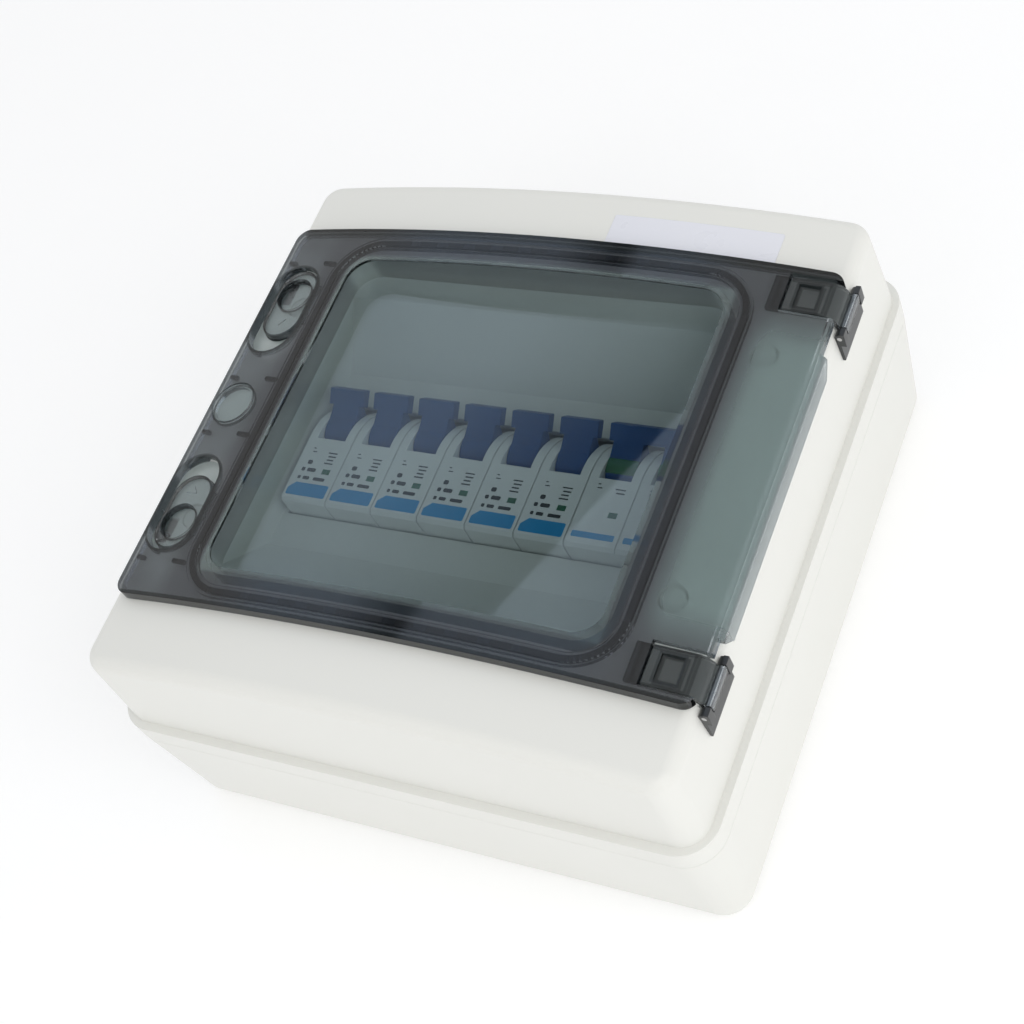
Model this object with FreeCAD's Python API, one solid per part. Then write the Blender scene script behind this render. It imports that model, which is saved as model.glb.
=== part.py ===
"""Surface-mounted combiner enclosure with a smoked hinged door and a row of modular breakers.

Millimetres. The box lies on its back: the origin is the centre of the back face, +Z points out of
the door, +Y is up and +X is the latch side when the box hangs on a wall. -X is the hinge side.
Each function below makes one physical piece, or one group of identical pieces.
"""

import os
import math

import FreeCAD
import Part

# ---------------------------------------------------------------- enclosure body
BACK_HX = 105.0          # half width of the back face
BACK_HY = 103.1          # half height of the back face
PART_HX = 108.5          # half width at the parting line, the widest place
PART_HY = 106.6          # half height at the parting line
PARTING_Z = 48.5         # joint between the base and the cover
BASE_WALL = 3.0
BASE_R = 13.0            # vertical corner radius
BACK_EDGE_R = 5.0        # rounding of the back edge
TONGUE_W = 1.2           # rib on the base rim that presses into the cover gasket
TONGUE_H = 2.0
TONGUE_GAP = 0.4         # side clearance of the rib in the groove
SEAL_T = 1.4             # thickness of the cover gasket

# ---------------------------------------------------------------- front cover
LEDGE_Z = 57.0           # top of the flat lip round the cover
FOOT_HX = 105.8          # half width of the raised part where it leaves the lip
FOOT_HY = 103.6
CREST_HX = 104.2         # half width of the raised part at the front edge
CREST_Z = 91.8           # height of the front edge on the hinge and latch sides
APEX_Z = 99.4            # height of the arched front along the middle
COVER_WALL = 2.5
SKIRT_R = 9.0            # corner radius of the raised part where it leaves the lip
COVER_EDGE_R = 5.0       # rounding of the front edge
WELL_HX = 74.0           # half width of the well that takes the door's window
WELL_HY = 67.0
WELL_R = 10.0
LAND_Z = 86.0            # flat land inside the well
PAN_HY = 56.0            # half height of the pan mouth at the land
FLOOR_HY = 36.0          # half height of the pan floor
FLOOR_Z = 67.5           # face of the pan floor round the breaker noses
SLOT_GAP = 0.5           # clearance between the slot in the floor and the breakers

# ---------------------------------------------------------------- cover screws
SCREW_X = 86.5
SCREW_Y = 43.75
SCREW_R = 2.0
SCREW_HEAD_R = 4.2
SCREW_HEAD_H = 3.2
SCREW_SEAT_Z = 80.0      # floor of the screw well
SCREW_TIP_Z = 20.0
SCREW_FIT = 0.25         # clearance of the screw in the cover
THREAD_FIT = 0.05        # clearance of the thread in its tower
TOWER_R = 6.2

# ---------------------------------------------------------------- wall fixing holes
FIX_X = 85.0
FIX_Y = 82.0
FIX_R = 3.0
FIX_SEAT_R = 6.5
FIX_SEAT_H = 2.0
KNOCKOUT_X = (-70.0, -35.0, 0.0, 35.0, 70.0)
KNOCKOUT_R = 12.5
KNOCKOUT_Z = 25.0
KNOCKOUT_SCORE = 1.2     # width and depth of the scored ring

# ---------------------------------------------------------------- rail and breakers
RAIL_FACE_Z = 14.0
RAIL_H = 7.5
RAIL_T = 1.0
RAIL_HY = 17.5
RAIL_WEB_HY = 13.5
RAIL_HX = 84.0
RAIL_POST_X = 77.5
RAIL_POST_HX = 5.0
RAIL_POST_HY = 11.0
RAIL_SCREW_R = 2.0
RAIL_SCREW_HEAD_R = 3.8
RAIL_SCREW_HEAD_H = 2.4
RAIL_SCREW_TIP_Z = 2.2
MODULE = 18.0            # one breaker module
MODULE_GAP = 0.4         # gap between neighbouring cases
SINGLE_COUNT = 6
BODY_HY = 40.5
BODY_BACK_Z = 9.5
SHOULDER_Z = 58.0
NOSE_HY = 22.5
NOSE_Z = 76.0
NOSE_LOW_Z = 65.0        # where the curved cheeks end
NOSE_STEP_Y = -3.0       # end of the flat printed face
NOSE_BEVEL = 1.2
CROWN_Y = -14.25         # middle of the curved cheeks
CROWN_DROP = 2.6
POLE_GROOVE = 0.8        # depth of the groove between the poles of the main breaker
CHEEK_W = 3.2
RAIL_FIT = 0.2           # clearance of the cases and clips on the rail
CLIP_W = 7.0
CLIP_T = 2.8
CLIP_TAB = 3.5           # pull tab that stands out of the case
CLIP_REACH = 1.3         # how far cases and clips reach under the rail's flange
TERMINAL_Y = 34.5
TERMINAL_W = 8.4
TERMINAL_Z0 = 30.0
TERMINAL_Z1 = 42.0
TERMINAL_DEPTH = 10.5
ACCESS_R = 2.9
CLAMP_FIT = 0.3
CLAMP_HY = 3.6
CLAMP_WALL = 1.4
CLAMP_SCREW_R = 2.4
CLAMP_SCREW_TOP_Z = 49.0
SLOT_W = 0.9             # screwdriver slot
SLOT_DEPTH = 1.0
WINDOW_Y = 9.9           # contact position window in the nose
WINDOW_X = -3.9          # offset of the window from the middle of a module
WINDOW_W = 3.0
WINDOW_H = 2.0
WINDOW_T = 0.8

# ---------------------------------------------------------------- breaker handles
PIVOT_Y = -10.5
PIVOT_Z = 67.5
HUB_R = 7.8
HUB_POCKET_R = 8.3
PIN_R = 1.5
PIN_FIT = 0.05
HANDLE_FIT = 0.3         # side clearance of the handle between the cheeks
THUMB_W = 13.8
THUMB_T = 3.6
THUMB_START = (-6.2, 9.4)   # front face of the thumb, from the pivot
THUMB_TIP = (-10.8, 12.7)
POCKET_FLOOR = 4.0       # how far the handle slot reaches below the pivot
PIN_END = 1.2            # end of a pin below the side of its case
FLAG_R = 6.2             # inner radius of the green flag on the main handle
FLAG_FROM = 58.0
FLAG_TO = 96.0

# ---------------------------------------------------------------- wiring bars
BAR_Y = 70.0
BAR_HX = 55.0
BAR_W = 8.0
BAR_Z0 = 18.0
BAR_Z1 = 27.0
BAR_WAYS = 10
BAR_PITCH = 10.5
BAR_WIRE_R = 2.4
BAR_WIRE_Z = 21.5
BAR_SCREW_R = 1.8
BAR_SCREW_TOP = 31.0
BAR_SCREW_TIP = 24.2
HOLDER_X = 45.0
HOLDER_HX = 5.0
HOLDER_SKIN = 2.0        # holder material round the bar
HOLDER_GRIP = 3.0        # height of the holder's sides beside the bar
COMB_Y = -44.0
COMB_T = 1.5
COMB_Z0 = 32.0
COMB_Z1 = 42.0
COMB_PIN_W = 4.0
COMB_PIN_T = 1.6
COMB_PIN_DROP = 1.0      # pins below the middle of the terminals
COMB_COVER_WALL = 1.6
COMB_COVER_GAP = 0.3

# ---------------------------------------------------------------- door
DOOR_X = -1.4            # middle of the door, which covers the cover's edge on the hinge side
DOOR_HX = 102.9
DOOR_HY = 76.5
DOOR_R = 5.0
DOOR_RISE = 4.0          # height of the door's face above the cover's arch
DOOR_WALL = 2.0
DOOR_GAP = 0.3           # clearance over the cover
LIP_T = 1.0              # lip that hangs over the cover's edge
LIP_Z = 92.5
SKIRT_X = -106.0         # outer face of the apron that hangs over the hinge wall
SKIRT_T = 1.1
SKIRT_Z = 87.5           # lower edge of the apron
SKIRT_SHOULDER = 2.6     # height and width of the slope from the door's face to the apron
SKIRT_Y0 = -42.0
SKIRT_Y1 = 50.0
SKIRT_SLANT = 4.0        # slanted ends of the apron
WINDOW_HX = 70.5         # recessed window
WINDOW_HY = 63.0
WINDOW_R = 9.0
WINDOW_WALL = 2.0
PANE_TOP_Z = 91.0
PANE_T = 2.2
SEAL_HX = 77.0           # centre line of the door gasket
SEAL_HY = 71.0
SEAL_R = 16.0
SEAL_W = 2.0
SEAL_RIB = 1.2           # ribs that hold the gasket
SEAL_RIB_H = 1.4
LOCK_X = 92.0
LOCK_R = 8.4
LOCK_WALL = 1.2
LOCK_GROOVE = 0.5

# ---------------------------------------------------------------- hinge
HINGE_X = -105.9
HINGE_Z = 88.8
HINGE_PIN_R = 0.8
HINGE_PIN_FIT = 0.05
KNUCKLE_R = 1.7
KNUCKLE_Y0 = 60.0
KNUCKLE_Y1 = 73.0
LUG_GAP = 0.3
LUG_T = 3.0
LUG_R = 1.7
BRACKET_Z0 = 78.0
BRACKET_T = 1.0
RELIEF_GAP = 0.35
NOTCH_X = -87.0
NOTCH_GAP = 0.8
ARM_TAIL_X = -82.0
ARM_OUTER_X = -107.6     # flat outer face of the arm and of the lugs
ARM_LOW = 1.4            # lower edge of that face below the pin
ARM_HIGH = 2.2           # upper edge of that face above the pin
ARM_CREST_X = -99.0
ARM_CREST_DROP = 0.6     # the arm's top below the door's face
ARM_NOTCH_DROP = 1.2
ARM_PANEL_X0 = -97.5     # shallow panel in the arm's top
ARM_PANEL_X1 = -90.5
ARM_PANEL_EDGE = 2.2
ARM_PANEL_DEPTH = 1.8    # floor of the panel below the door's face
ARM_OUTSIDE = ((-106.0, 2.2), (-105.3, 1.8), (-104.9, 3.8), (-103.2, 6.0), (-101.4, 6.8))
ARM_INSIDE = ((-100.2, 4.3), (-102.4, 3.2), (-103.6, 1.9), (-104.2, 0.0), (-105.9, -1.7))

# ---------------------------------------------------------------- latches
POCKET_X = 91.2
POCKET_Y = 40.5
POCKET_W = 19.0
POCKET_L = 37.0
SLIDER_W = 16.0
SLIDER_L = 28.8
SLIDER_GAP = 0.4
SLIDER_END_GAP = 1.0
SLIDER_LOW = 0.7         # underside above the cover's arch
SLIDER_TOP = 3.2
FLANGE_W = 2.0
FLANGE_TOP = 1.7
FLANGE_END = 6.0         # the flanges stop short of the slider's round ends
LATCH_TRAVEL = 6.0
HOOK_X = 95.0
HOOK_W = 4.4
HOOK_T = 3.0
HOOK_Y = 53.0
HOOK_DEPTH = 7.0
HOOK_GAP = 0.5
HOOK_ROOT = 0.5          # how far the hook's root is let into the slider
SCOOP_R = 6.6
SCOOP_FLOOR = 1.5
SCOOP_INSET = 2.5        # middle of the scoop from the middle of the slider's round end
MARK_H = 0.4
MARK_HX = 2.4
MARK_LONG = 3.0
MARK_INSET = 7.4         # base of the mark from the slider's inner end

# ---------------------------------------------------------------- rating label
LABEL_X0 = -79.0
LABEL_X1 = -20.0
LABEL_Y0 = -91.0
LABEL_Y1 = -77.5
LABEL_T = 0.15

ARCH_R = (CREST_HX ** 2 + (APEX_Z - CREST_Z) ** 2) / (2 * (APEX_Z - CREST_Z))
ARCH_CZ = APEX_Z - ARCH_R
CASE_W = MODULE - MODULE_GAP
ROW_HX = (SINGLE_COUNT + 2) * MODULE / 2
TALL = 130.0             # longer than the box is deep, for cutting bodies
RIM_HX = PART_HX - BASE_WALL
RIM_HY = PART_HY - BASE_WALL
SKIRT_DRAFT = (FOOT_HX - CREST_HX) / (CREST_Z - LEDGE_Z)


# ================================================================ helpers
def vec(x, y, z):
    """A point or direction."""
    return FreeCAD.Vector(x, y, z)


def block(x0, x1, y0, y1, z0, z1):
    """A box between two corners."""
    return Part.makeBox(x1 - x0, y1 - y0, z1 - z0, vec(x0, y0, z0))


def rod(radius, length, start, direction):
    """A cylinder from a start point along a direction."""
    return Part.makeCylinder(radius, length, vec(*start), vec(*direction))


def rounded_wire(hx, hy, r, z, cx=0.0, cy=0.0):
    """A rectangle with round corners in a plane of constant Z."""
    k = r * math.sqrt(0.5)
    edges = []
    for sx, sy, first_x in ((1, 1, True), (-1, 1, False), (-1, -1, True), (1, -1, False)):
        ox = cx + sx * (hx - r)
        oy = cy + sy * (hy - r)
        on_side = vec(ox + sx * r, oy, z)
        on_end = vec(ox, oy + sy * r, z)
        middle = vec(ox + sx * k, oy + sy * k, z)
        start, stop = (on_side, on_end) if first_x else (on_end, on_side)
        edges.append(Part.Arc(start, middle, stop).toShape())
    loop = []
    for i, edge in enumerate(edges):
        following = edges[(i + 1) % 4]
        loop.append(edge)
        gap_start = edge.Vertexes[-1].Point
        gap_end = following.Vertexes[0].Point
        if gap_start.distanceToPoint(gap_end) > 1e-6:
            loop.append(Part.LineSegment(gap_start, gap_end).toShape())
    return Part.Wire(loop)


def rounded_prism(hx, hy, r, z0, z1, cx=0.0, cy=0.0):
    """A straight block with round vertical corners."""
    face = Part.Face(rounded_wire(hx, hy, r, z0, cx, cy))
    return face.extrude(vec(0, 0, z1 - z0))


def drafted_prism(low, high):
    """A block between two rounded rectangles (hx, hy, r, z) whose corners share their centres."""
    (hx0, hy0, r0, z0), (hx1, hy1, r1, z1) = low, high
    ox = hx0 - r0
    oy = hy0 - r0
    parts = [
        profile([(-hx0, z0), (hx0, z0), (hx1, z1), (-hx1, z1)], "Y", -oy, oy),
        profile([(-hy0, z0), (hy0, z0), (hy1, z1), (-hy1, z1)], "X", -ox, ox),
    ]
    for x, y in four(ox, oy):
        parts.append(Part.makeCone(r0, r1, z1 - z0, vec(x, y, z0)))
    return joined(parts)


def profile(points, axis, start, stop):
    """A polygon extruded along X or Y. Its points are (y, z) along X, or (x, z) along Y."""
    if axis == "X":
        corners = [vec(start, a, b) for a, b in points]
        run = vec(stop - start, 0, 0)
    else:
        corners = [vec(a, start, b) for a, b in points]
        run = vec(0, stop - start, 0)
    return Part.Face(Part.makePolygon(corners + corners[:1])).extrude(run)


def arch_z(x, rise=0.0):
    """Height of the cover's arched front, or of a surface that far above it."""
    return ARCH_CZ + math.sqrt((ARCH_R + rise) ** 2 - x ** 2)


def under_arch(rise, half_width=PART_HX + 10.0):
    """Everything under the arched front raised by a given height."""
    low = -10.0
    edge_z = arch_z(half_width, rise)
    left, right = vec(-half_width, -TALL, edge_z), vec(half_width, -TALL, edge_z)
    top = Part.Arc(left, vec(0, -TALL, APEX_Z + rise), right).toShape()
    foot = [vec(half_width, -TALL, low), vec(-half_width, -TALL, low)]
    rest = Part.makePolygon([right, foot[0], foot[1], left])
    face = Part.Face(Part.Wire([top] + rest.Edges))
    return face.extrude(vec(0, 2 * TALL, 0))


def joined(shapes):
    """Overlapping solids as one solid."""
    shapes = list(shapes)
    whole = shapes[0].fuse(shapes[1:]) if len(shapes) > 1 else shapes[0]
    return whole.removeSplitter()


def group(shapes):
    """Separate solids kept as one node."""
    solids = [solid for shape in shapes for solid in shape.Solids]
    return Part.makeCompound(solids)


def mirrored_y(shape):
    """The same piece on the other side of the middle plane Y = 0."""
    return shape.mirror(vec(0, 0, 0), vec(0, 1, 0))


def four(x, y):
    """The four places (+-x, +-y)."""
    return [(sx * x, sy * y) for sx in (1, -1) for sy in (1, -1)]


def skirt_half(half_at_foot, z):
    """Half width of the cover's drafted skirt at a height."""
    return half_at_foot - SKIRT_DRAFT * (z - LEDGE_Z)


def module_middle(index):
    """Middle of single breaker number 1 to 6, counted from the latch side."""
    return ROW_HX - MODULE * (index - 0.5)


MAIN_X = -ROW_HX + MODULE


# ================================================================ enclosure
def rear_base():
    """Back half of the housing with towers, rail posts and scored knockouts."""
    flare = PART_HX - BACK_HX
    outer = drafted_prism((BACK_HX, BACK_HY, BASE_R - flare, 0.0), (PART_HX, PART_HY, BASE_R, PARTING_Z))
    back = min(outer.Faces, key=lambda face: face.CenterOfMass.z)
    outer = outer.makeFillet(BACK_EDGE_R, back.Edges)
    inner_r = BASE_R - BASE_WALL
    narrow = flare * (1.0 - BASE_WALL / PARTING_Z)
    inner = drafted_prism(
        (RIM_HX - narrow, RIM_HY - narrow, inner_r - narrow, BASE_WALL),
        (RIM_HX, RIM_HY, inner_r, PARTING_Z),
    )
    shell = outer.cut(inner)
    rib_low = PARTING_Z - 1.0
    rib_top = PARTING_Z + TONGUE_H
    rib = rounded_prism(RIM_HX + TONGUE_W, RIM_HY + TONGUE_W, inner_r + TONGUE_W, rib_low, rib_top)
    rib = rib.cut(rounded_prism(RIM_HX, RIM_HY, inner_r, rib_low, rib_top))
    additions = [rib]
    for x, y in four(SCREW_X, SCREW_Y):
        additions.append(rod(TOWER_R, PARTING_Z - 1.0, (x, y, 1.0), (0, 0, 1)))
    for x, y in four(FIX_X, FIX_Y):
        additions.append(rod(FIX_SEAT_R, BASE_WALL + FIX_SEAT_H - 1.0, (x, y, 1.0), (0, 0, 1)))
    post_top = RAIL_FACE_Z - RAIL_H
    for sx in (1, -1):
        x0 = sx * RAIL_POST_X - RAIL_POST_HX
        additions.append(block(x0, x0 + 2 * RAIL_POST_HX, -RAIL_POST_HY, RAIL_POST_HY, 1.0, post_top))
    shell = joined([shell] + additions)
    for x, y in four(SCREW_X, SCREW_Y):
        shell = shell.cut(rod(SCREW_R + THREAD_FIT, TALL, (x, y, SCREW_TIP_Z - 2.0), (0, 0, 1)))
    for x, y in four(FIX_X, FIX_Y):
        shell = shell.cut(rod(FIX_R, TALL, (x, y, -1.0), (0, 0, 1)))
    for sx in (1, -1):
        start = (sx * RAIL_POST_X, 0.0, RAIL_SCREW_TIP_Z - 0.5)
        shell = shell.cut(rod(RAIL_SCREW_R + THREAD_FIT, TALL, start, (0, 0, 1)))
    for x in KNOCKOUT_X:
        shell = shell.cut(knockout_score(x))
    return shell


def knockout_score(x):
    """Ring scored into the lower wall round one cable entry."""
    wall_y = -(BACK_HY + (PART_HY - BACK_HY) * KNOCKOUT_Z / PARTING_Z)
    start = (x, wall_y - 3.0, KNOCKOUT_Z)
    length = 3.0 + KNOCKOUT_SCORE
    disc = rod(KNOCKOUT_R, length, start, (0, 1, 0))
    return disc.cut(rod(KNOCKOUT_R - KNOCKOUT_SCORE, length, start, (0, 1, 0)))


def cover_gasket():
    """Rubber ring in the groove of the cover, above the rib of the base."""
    z0 = PARTING_Z + TONGUE_H
    r = BASE_R - BASE_WALL
    out = TONGUE_W + TONGUE_GAP
    ring = rounded_prism(RIM_HX + out, RIM_HY + out, r + out, z0, z0 + SEAL_T)
    return ring.cut(rounded_prism(RIM_HX - TONGUE_GAP, RIM_HY - TONGUE_GAP, r - TONGUE_GAP, z0, z0 + SEAL_T))


def cover_skirt(inset, low_z):
    """Raised part of the cover, or its inside when inset by the wall."""
    sections = []
    for z in (low_z, APEX_Z + 2.0):
        half_x = skirt_half(FOOT_HX, z) - inset
        half_y = skirt_half(FOOT_HY, z) - inset
        sections.append((half_x, half_y, skirt_half(SKIRT_R, z) - inset, z))
    return drafted_prism(sections[0], sections[1]).common(under_arch(-inset))


def pan(inset):
    """Space of the breaker pan below the land, or its outside when inset is negative."""
    rise = LAND_Z - FLOOR_Z
    run = PAN_HY - FLOOR_HY
    grow = -inset * (math.hypot(rise, run) - run) / rise
    floor_z = FLOOR_Z + inset
    floor_y = FLOOR_HY + grow
    top_y = floor_y + (LAND_Z - floor_z) * run / rise
    points = [(-floor_y, floor_z), (floor_y, floor_z), (top_y, LAND_Z), (-top_y, LAND_Z)]
    return profile(points, "X", -WELL_HX + inset, WELL_HX - inset)


def front_cover():
    """Arched front half with the window well, the breaker pan and four screw columns."""
    skirt = cover_skirt(0.0, LEDGE_Z)
    top = max(skirt.Faces, key=lambda face: face.CenterOfMass.z)
    skirt = skirt.makeFillet(COVER_EDGE_R, top.Edges)
    lip = rounded_prism(PART_HX, PART_HY, BASE_R, PARTING_Z, LEDGE_Z)
    shell = joined([skirt, lip]).cut(cover_skirt(COVER_WALL, PARTING_Z))
    out = TONGUE_W + TONGUE_GAP
    r = BASE_R - BASE_WALL
    groove_top = PARTING_Z + TONGUE_H + SEAL_T
    groove = rounded_prism(RIM_HX + out, RIM_HY + out, r + out, PARTING_Z, groove_top)
    inside = rounded_prism(RIM_HX - TONGUE_GAP, RIM_HY - TONGUE_GAP, r - TONGUE_GAP, PARTING_Z, groove_top)
    shell = shell.cut(groove.cut(inside))
    wall = COVER_WALL
    well_block = rounded_prism(WELL_HX + wall, WELL_HY + wall, WELL_R + wall, LAND_Z - wall, TALL)
    additions = [well_block.common(under_arch(-0.5 * wall)), pan(-wall)]
    for x, y in four(SCREW_X, SCREW_Y):
        column = rod(TOWER_R, TALL, (x, y, PARTING_Z), (0, 0, 1))
        additions.append(column.common(under_arch(-0.5 * wall)))
    shell = joined([shell] + additions)
    shell = shell.cut(rounded_prism(WELL_HX, WELL_HY, WELL_R, LAND_Z, TALL))
    shell = shell.cut(pan(0.0))
    slot_x = ROW_HX + SLOT_GAP
    slot_y = NOSE_HY + SLOT_GAP
    shell = shell.cut(block(-slot_x, slot_x, -slot_y, slot_y, FLOOR_Z - 2 * wall, FLOOR_Z + 1.0))
    for x, y in four(SCREW_X, SCREW_Y):
        shell = shell.cut(rod(SCREW_R + SCREW_FIT, TALL, (x, y, 0.0), (0, 0, 1)))
        shell = shell.cut(rod(SCREW_HEAD_R + SCREW_FIT, TALL, (x, y, SCREW_SEAT_Z), (0, 0, 1)))
    shell = shell.cut(hook_slot())
    shell = shell.cut(mirrored_y(hook_slot()))
    shell = shell.cut(hinge_relief())
    return shell.cut(mirrored_y(hinge_relief()))


def hook_slot():
    """Slot in the cover for one latch hook, with room for its travel."""
    hx = HOOK_W / 2 + HOOK_GAP
    y0 = HOOK_Y - LATCH_TRAVEL - HOOK_T / 2 - HOOK_GAP
    y1 = HOOK_Y + HOOK_T / 2 + HOOK_GAP
    return block(HOOK_X - hx, HOOK_X + hx, y0, y1, LAND_Z - COVER_WALL, TALL)


def hinge_relief():
    """Shallow cut in the cover's edge behind one hinge knuckle."""
    swing = math.hypot(ARM_OUTER_X - HINGE_X, ARM_LOW) + RELIEF_GAP
    inner_x = HINGE_X + swing
    y0 = KNUCKLE_Y0 - LUG_GAP
    y1 = KNUCKLE_Y1 + LUG_GAP
    return block(-PART_HX, inner_x, y0, y1, HINGE_Z - swing, arch_z(inner_x))


def slotted_screw(x, y, seat_z, tip_z, radius, head_r, head_h):
    """A pan-head screw along Z with a cross recess."""
    head = rod(head_r, head_h, (x, y, seat_z), (0, 0, 1))
    rim = max(head.Edges, key=lambda edge: edge.CenterOfMass.z)
    head = head.makeFillet(head_h * 0.4, [rim])
    shank = rod(radius, seat_z - tip_z + 0.5, (x, y, tip_z), (0, 0, 1))
    screw = joined([head, shank])
    reach = head_r * 0.6
    top = seat_z + head_h
    for hx, hy in ((reach, SLOT_W / 2), (SLOT_W / 2, reach)):
        screw = screw.cut(block(x - hx, x + hx, y - hy, y + hy, top - SLOT_DEPTH, top + 1.0))
    return screw


def cover_screws():
    """Four long screws that hold the cover on the base."""
    args = (SCREW_SEAT_Z, SCREW_TIP_Z, SCREW_R, SCREW_HEAD_R, SCREW_HEAD_H)
    return group(slotted_screw(x, y, *args) for x, y in four(SCREW_X, SCREW_Y))


def rating_label():
    """Blank adhesive label on the lower strip of the cover."""
    patch = rounded_prism((LABEL_X1 - LABEL_X0) / 2, (LABEL_Y1 - LABEL_Y0) / 2, 0.8, LAND_Z, TALL,
                          (LABEL_X0 + LABEL_X1) / 2, (LABEL_Y0 + LABEL_Y1) / 2)
    return patch.common(under_arch(LABEL_T)).cut(under_arch(0.0))


# ================================================================ rail and wiring
def din_rail():
    """Top-hat rail on the posts of the base."""
    web_z = RAIL_FACE_Z - RAIL_H
    parts = [block(-RAIL_HX, RAIL_HX, -RAIL_WEB_HY, RAIL_WEB_HY, web_z, web_z + RAIL_T)]
    for sy in (1, -1):
        wall = sorted((sy * RAIL_WEB_HY, sy * (RAIL_WEB_HY - RAIL_T)))
        flange = sorted((sy * (RAIL_WEB_HY - RAIL_T), sy * RAIL_HY))
        parts.append(block(-RAIL_HX, RAIL_HX, wall[0], wall[1], web_z, RAIL_FACE_Z))
        parts.append(block(-RAIL_HX, RAIL_HX, flange[0], flange[1], RAIL_FACE_Z - RAIL_T, RAIL_FACE_Z))
    rail = joined(parts)
    for sx in (1, -1):
        start = (sx * RAIL_POST_X, 0.0, web_z - 1.0)
        rail = rail.cut(rod(RAIL_SCREW_R + SCREW_FIT, RAIL_T + 2.0, start, (0, 0, 1)))
    return rail


def rail_screws():
    """Two screws through the rail into its posts."""
    seat = RAIL_FACE_Z - RAIL_H + RAIL_T
    args = (seat, RAIL_SCREW_TIP_Z, RAIL_SCREW_R, RAIL_SCREW_HEAD_R, RAIL_SCREW_HEAD_H)
    return group(slotted_screw(sx * RAIL_POST_X, 0.0, *args) for sx in (1, -1))


def bar_way_x(index):
    """Place of one wire way along a wiring bar."""
    return (index - (BAR_WAYS - 1) / 2) * BAR_PITCH


def wiring_bar(sy):
    """Brass bar with wire holes and screw holes."""
    y = sy * BAR_Y
    bar = block(-BAR_HX, BAR_HX, y - BAR_W / 2, y + BAR_W / 2, BAR_Z0, BAR_Z1)
    for i in range(BAR_WAYS):
        x = bar_way_x(i)
        bar = bar.cut(rod(BAR_WIRE_R, BAR_W + 2.0, (x, y - BAR_W / 2 - 1.0, BAR_WIRE_Z), (0, 1, 0)))
        bar = bar.cut(rod(BAR_SCREW_R + THREAD_FIT, TALL, (x, y, BAR_WIRE_Z), (0, 0, 1)))
    return bar


def bar_holder(sy):
    """Two insulating feet that hold one wiring bar above the base floor."""
    y = sy * BAR_Y
    feet = []
    for sx in (1, -1):
        x = sx * HOLDER_X
        hy = BAR_W / 2 + HOLDER_SKIN
        foot = block(x - HOLDER_HX, x + HOLDER_HX, y - hy, y + hy, BASE_WALL, BAR_Z0 + HOLDER_GRIP)
        nest = block(x - HOLDER_HX, x + HOLDER_HX, y - BAR_W / 2, y + BAR_W / 2, BAR_Z0, TALL)
        feet.append(foot.cut(nest))
    return group(feet)


def bar_screws():
    """Clamp screws of both wiring bars."""
    screws = []
    for sy in (1, -1):
        for i in range(BAR_WAYS):
            x = bar_way_x(i)
            length = BAR_SCREW_TOP - BAR_SCREW_TIP
            screw = rod(BAR_SCREW_R, length, (x, sy * BAR_Y, BAR_SCREW_TIP), (0, 0, 1))
            half = SLOT_W / 2
            y = sy * BAR_Y
            cut = block(x - BAR_W, x + BAR_W, y - half, y + half, BAR_SCREW_TOP - SLOT_DEPTH, BAR_SCREW_TOP)
            screws.append(screw.cut(cut))
    return group(screws)


def fed_modules():
    """Middles of the modules that the comb busbar feeds: all singles and one main pole."""
    singles = [module_middle(i) for i in range(1, SINGLE_COUNT + 1)]
    return singles + [MAIN_X + MODULE / 2]


def comb_busbar():
    """Copper comb with a pin in each fed terminal."""
    xs = fed_modules()
    strip = block(min(xs) - COMB_PIN_W, max(xs) + COMB_PIN_W, COMB_Y, COMB_Y + COMB_T, COMB_Z0, COMB_Z1)
    pin_z = (TERMINAL_Z0 + TERMINAL_Z1) / 2 - COMB_PIN_DROP
    pins = []
    for x in xs:
        y1 = -TERMINAL_Y + 1.0
        half = COMB_PIN_W / 2
        pins.append(block(x - half, x + half, COMB_Y, y1, pin_z, pin_z + COMB_PIN_T))
    return joined([strip] + pins)


def busbar_cover():
    """Insulating channel round the back of the comb busbar."""
    xs = fed_modules()
    x0 = min(xs) - COMB_PIN_W - COMB_COVER_GAP
    x1 = max(xs) + COMB_PIN_W + COMB_COVER_GAP
    wall = COMB_COVER_WALL
    gap = COMB_COVER_GAP
    outer = block(x0 - wall, x1 + wall, COMB_Y - gap - wall, COMB_Y + COMB_T, COMB_Z0 - gap - wall,
                  COMB_Z1 + gap + wall)
    return outer.cut(block(x0, x1, COMB_Y - gap, COMB_Y + COMB_T, COMB_Z0 - gap, COMB_Z1 + gap))


# ================================================================ breakers
def case_body(x0, x1):
    """Breaker case outline between two side planes, before its pockets are cut."""
    fit = RAIL_FIT
    hook_y = RAIL_HY - CLIP_REACH
    under = RAIL_FACE_Z - RAIL_T - fit
    bevel = NOSE_BEVEL
    start = [
        (NOSE_STEP_Y, NOSE_Z), (NOSE_HY - bevel, NOSE_Z), (NOSE_HY, NOSE_Z - bevel), (NOSE_HY, SHOULDER_Z),
        (BODY_HY, SHOULDER_Z), (BODY_HY, BODY_BACK_Z), (hook_y, BODY_BACK_Z), (hook_y, under),
        (RAIL_HY + fit, under), (RAIL_HY + fit, RAIL_FACE_Z), (-RAIL_HY - fit, RAIL_FACE_Z),
        (-RAIL_HY - fit, BODY_BACK_Z), (-BODY_HY, BODY_BACK_Z), (-BODY_HY, SHOULDER_Z),
        (-NOSE_HY, SHOULDER_Z), (-NOSE_HY, NOSE_LOW_Z),
    ]
    corners = [vec(x0, y, z) for y, z in start]
    crown = vec(x0, CROWN_Y, NOSE_Z - CROWN_DROP)
    curve = Part.Arc(corners[-1], crown, corners[0]).toShape()
    outline = Part.Wire(Part.makePolygon(corners).Edges + [curve])
    return Part.Face(outline).extrude(vec(x1 - x0, 0, 0))


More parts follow.
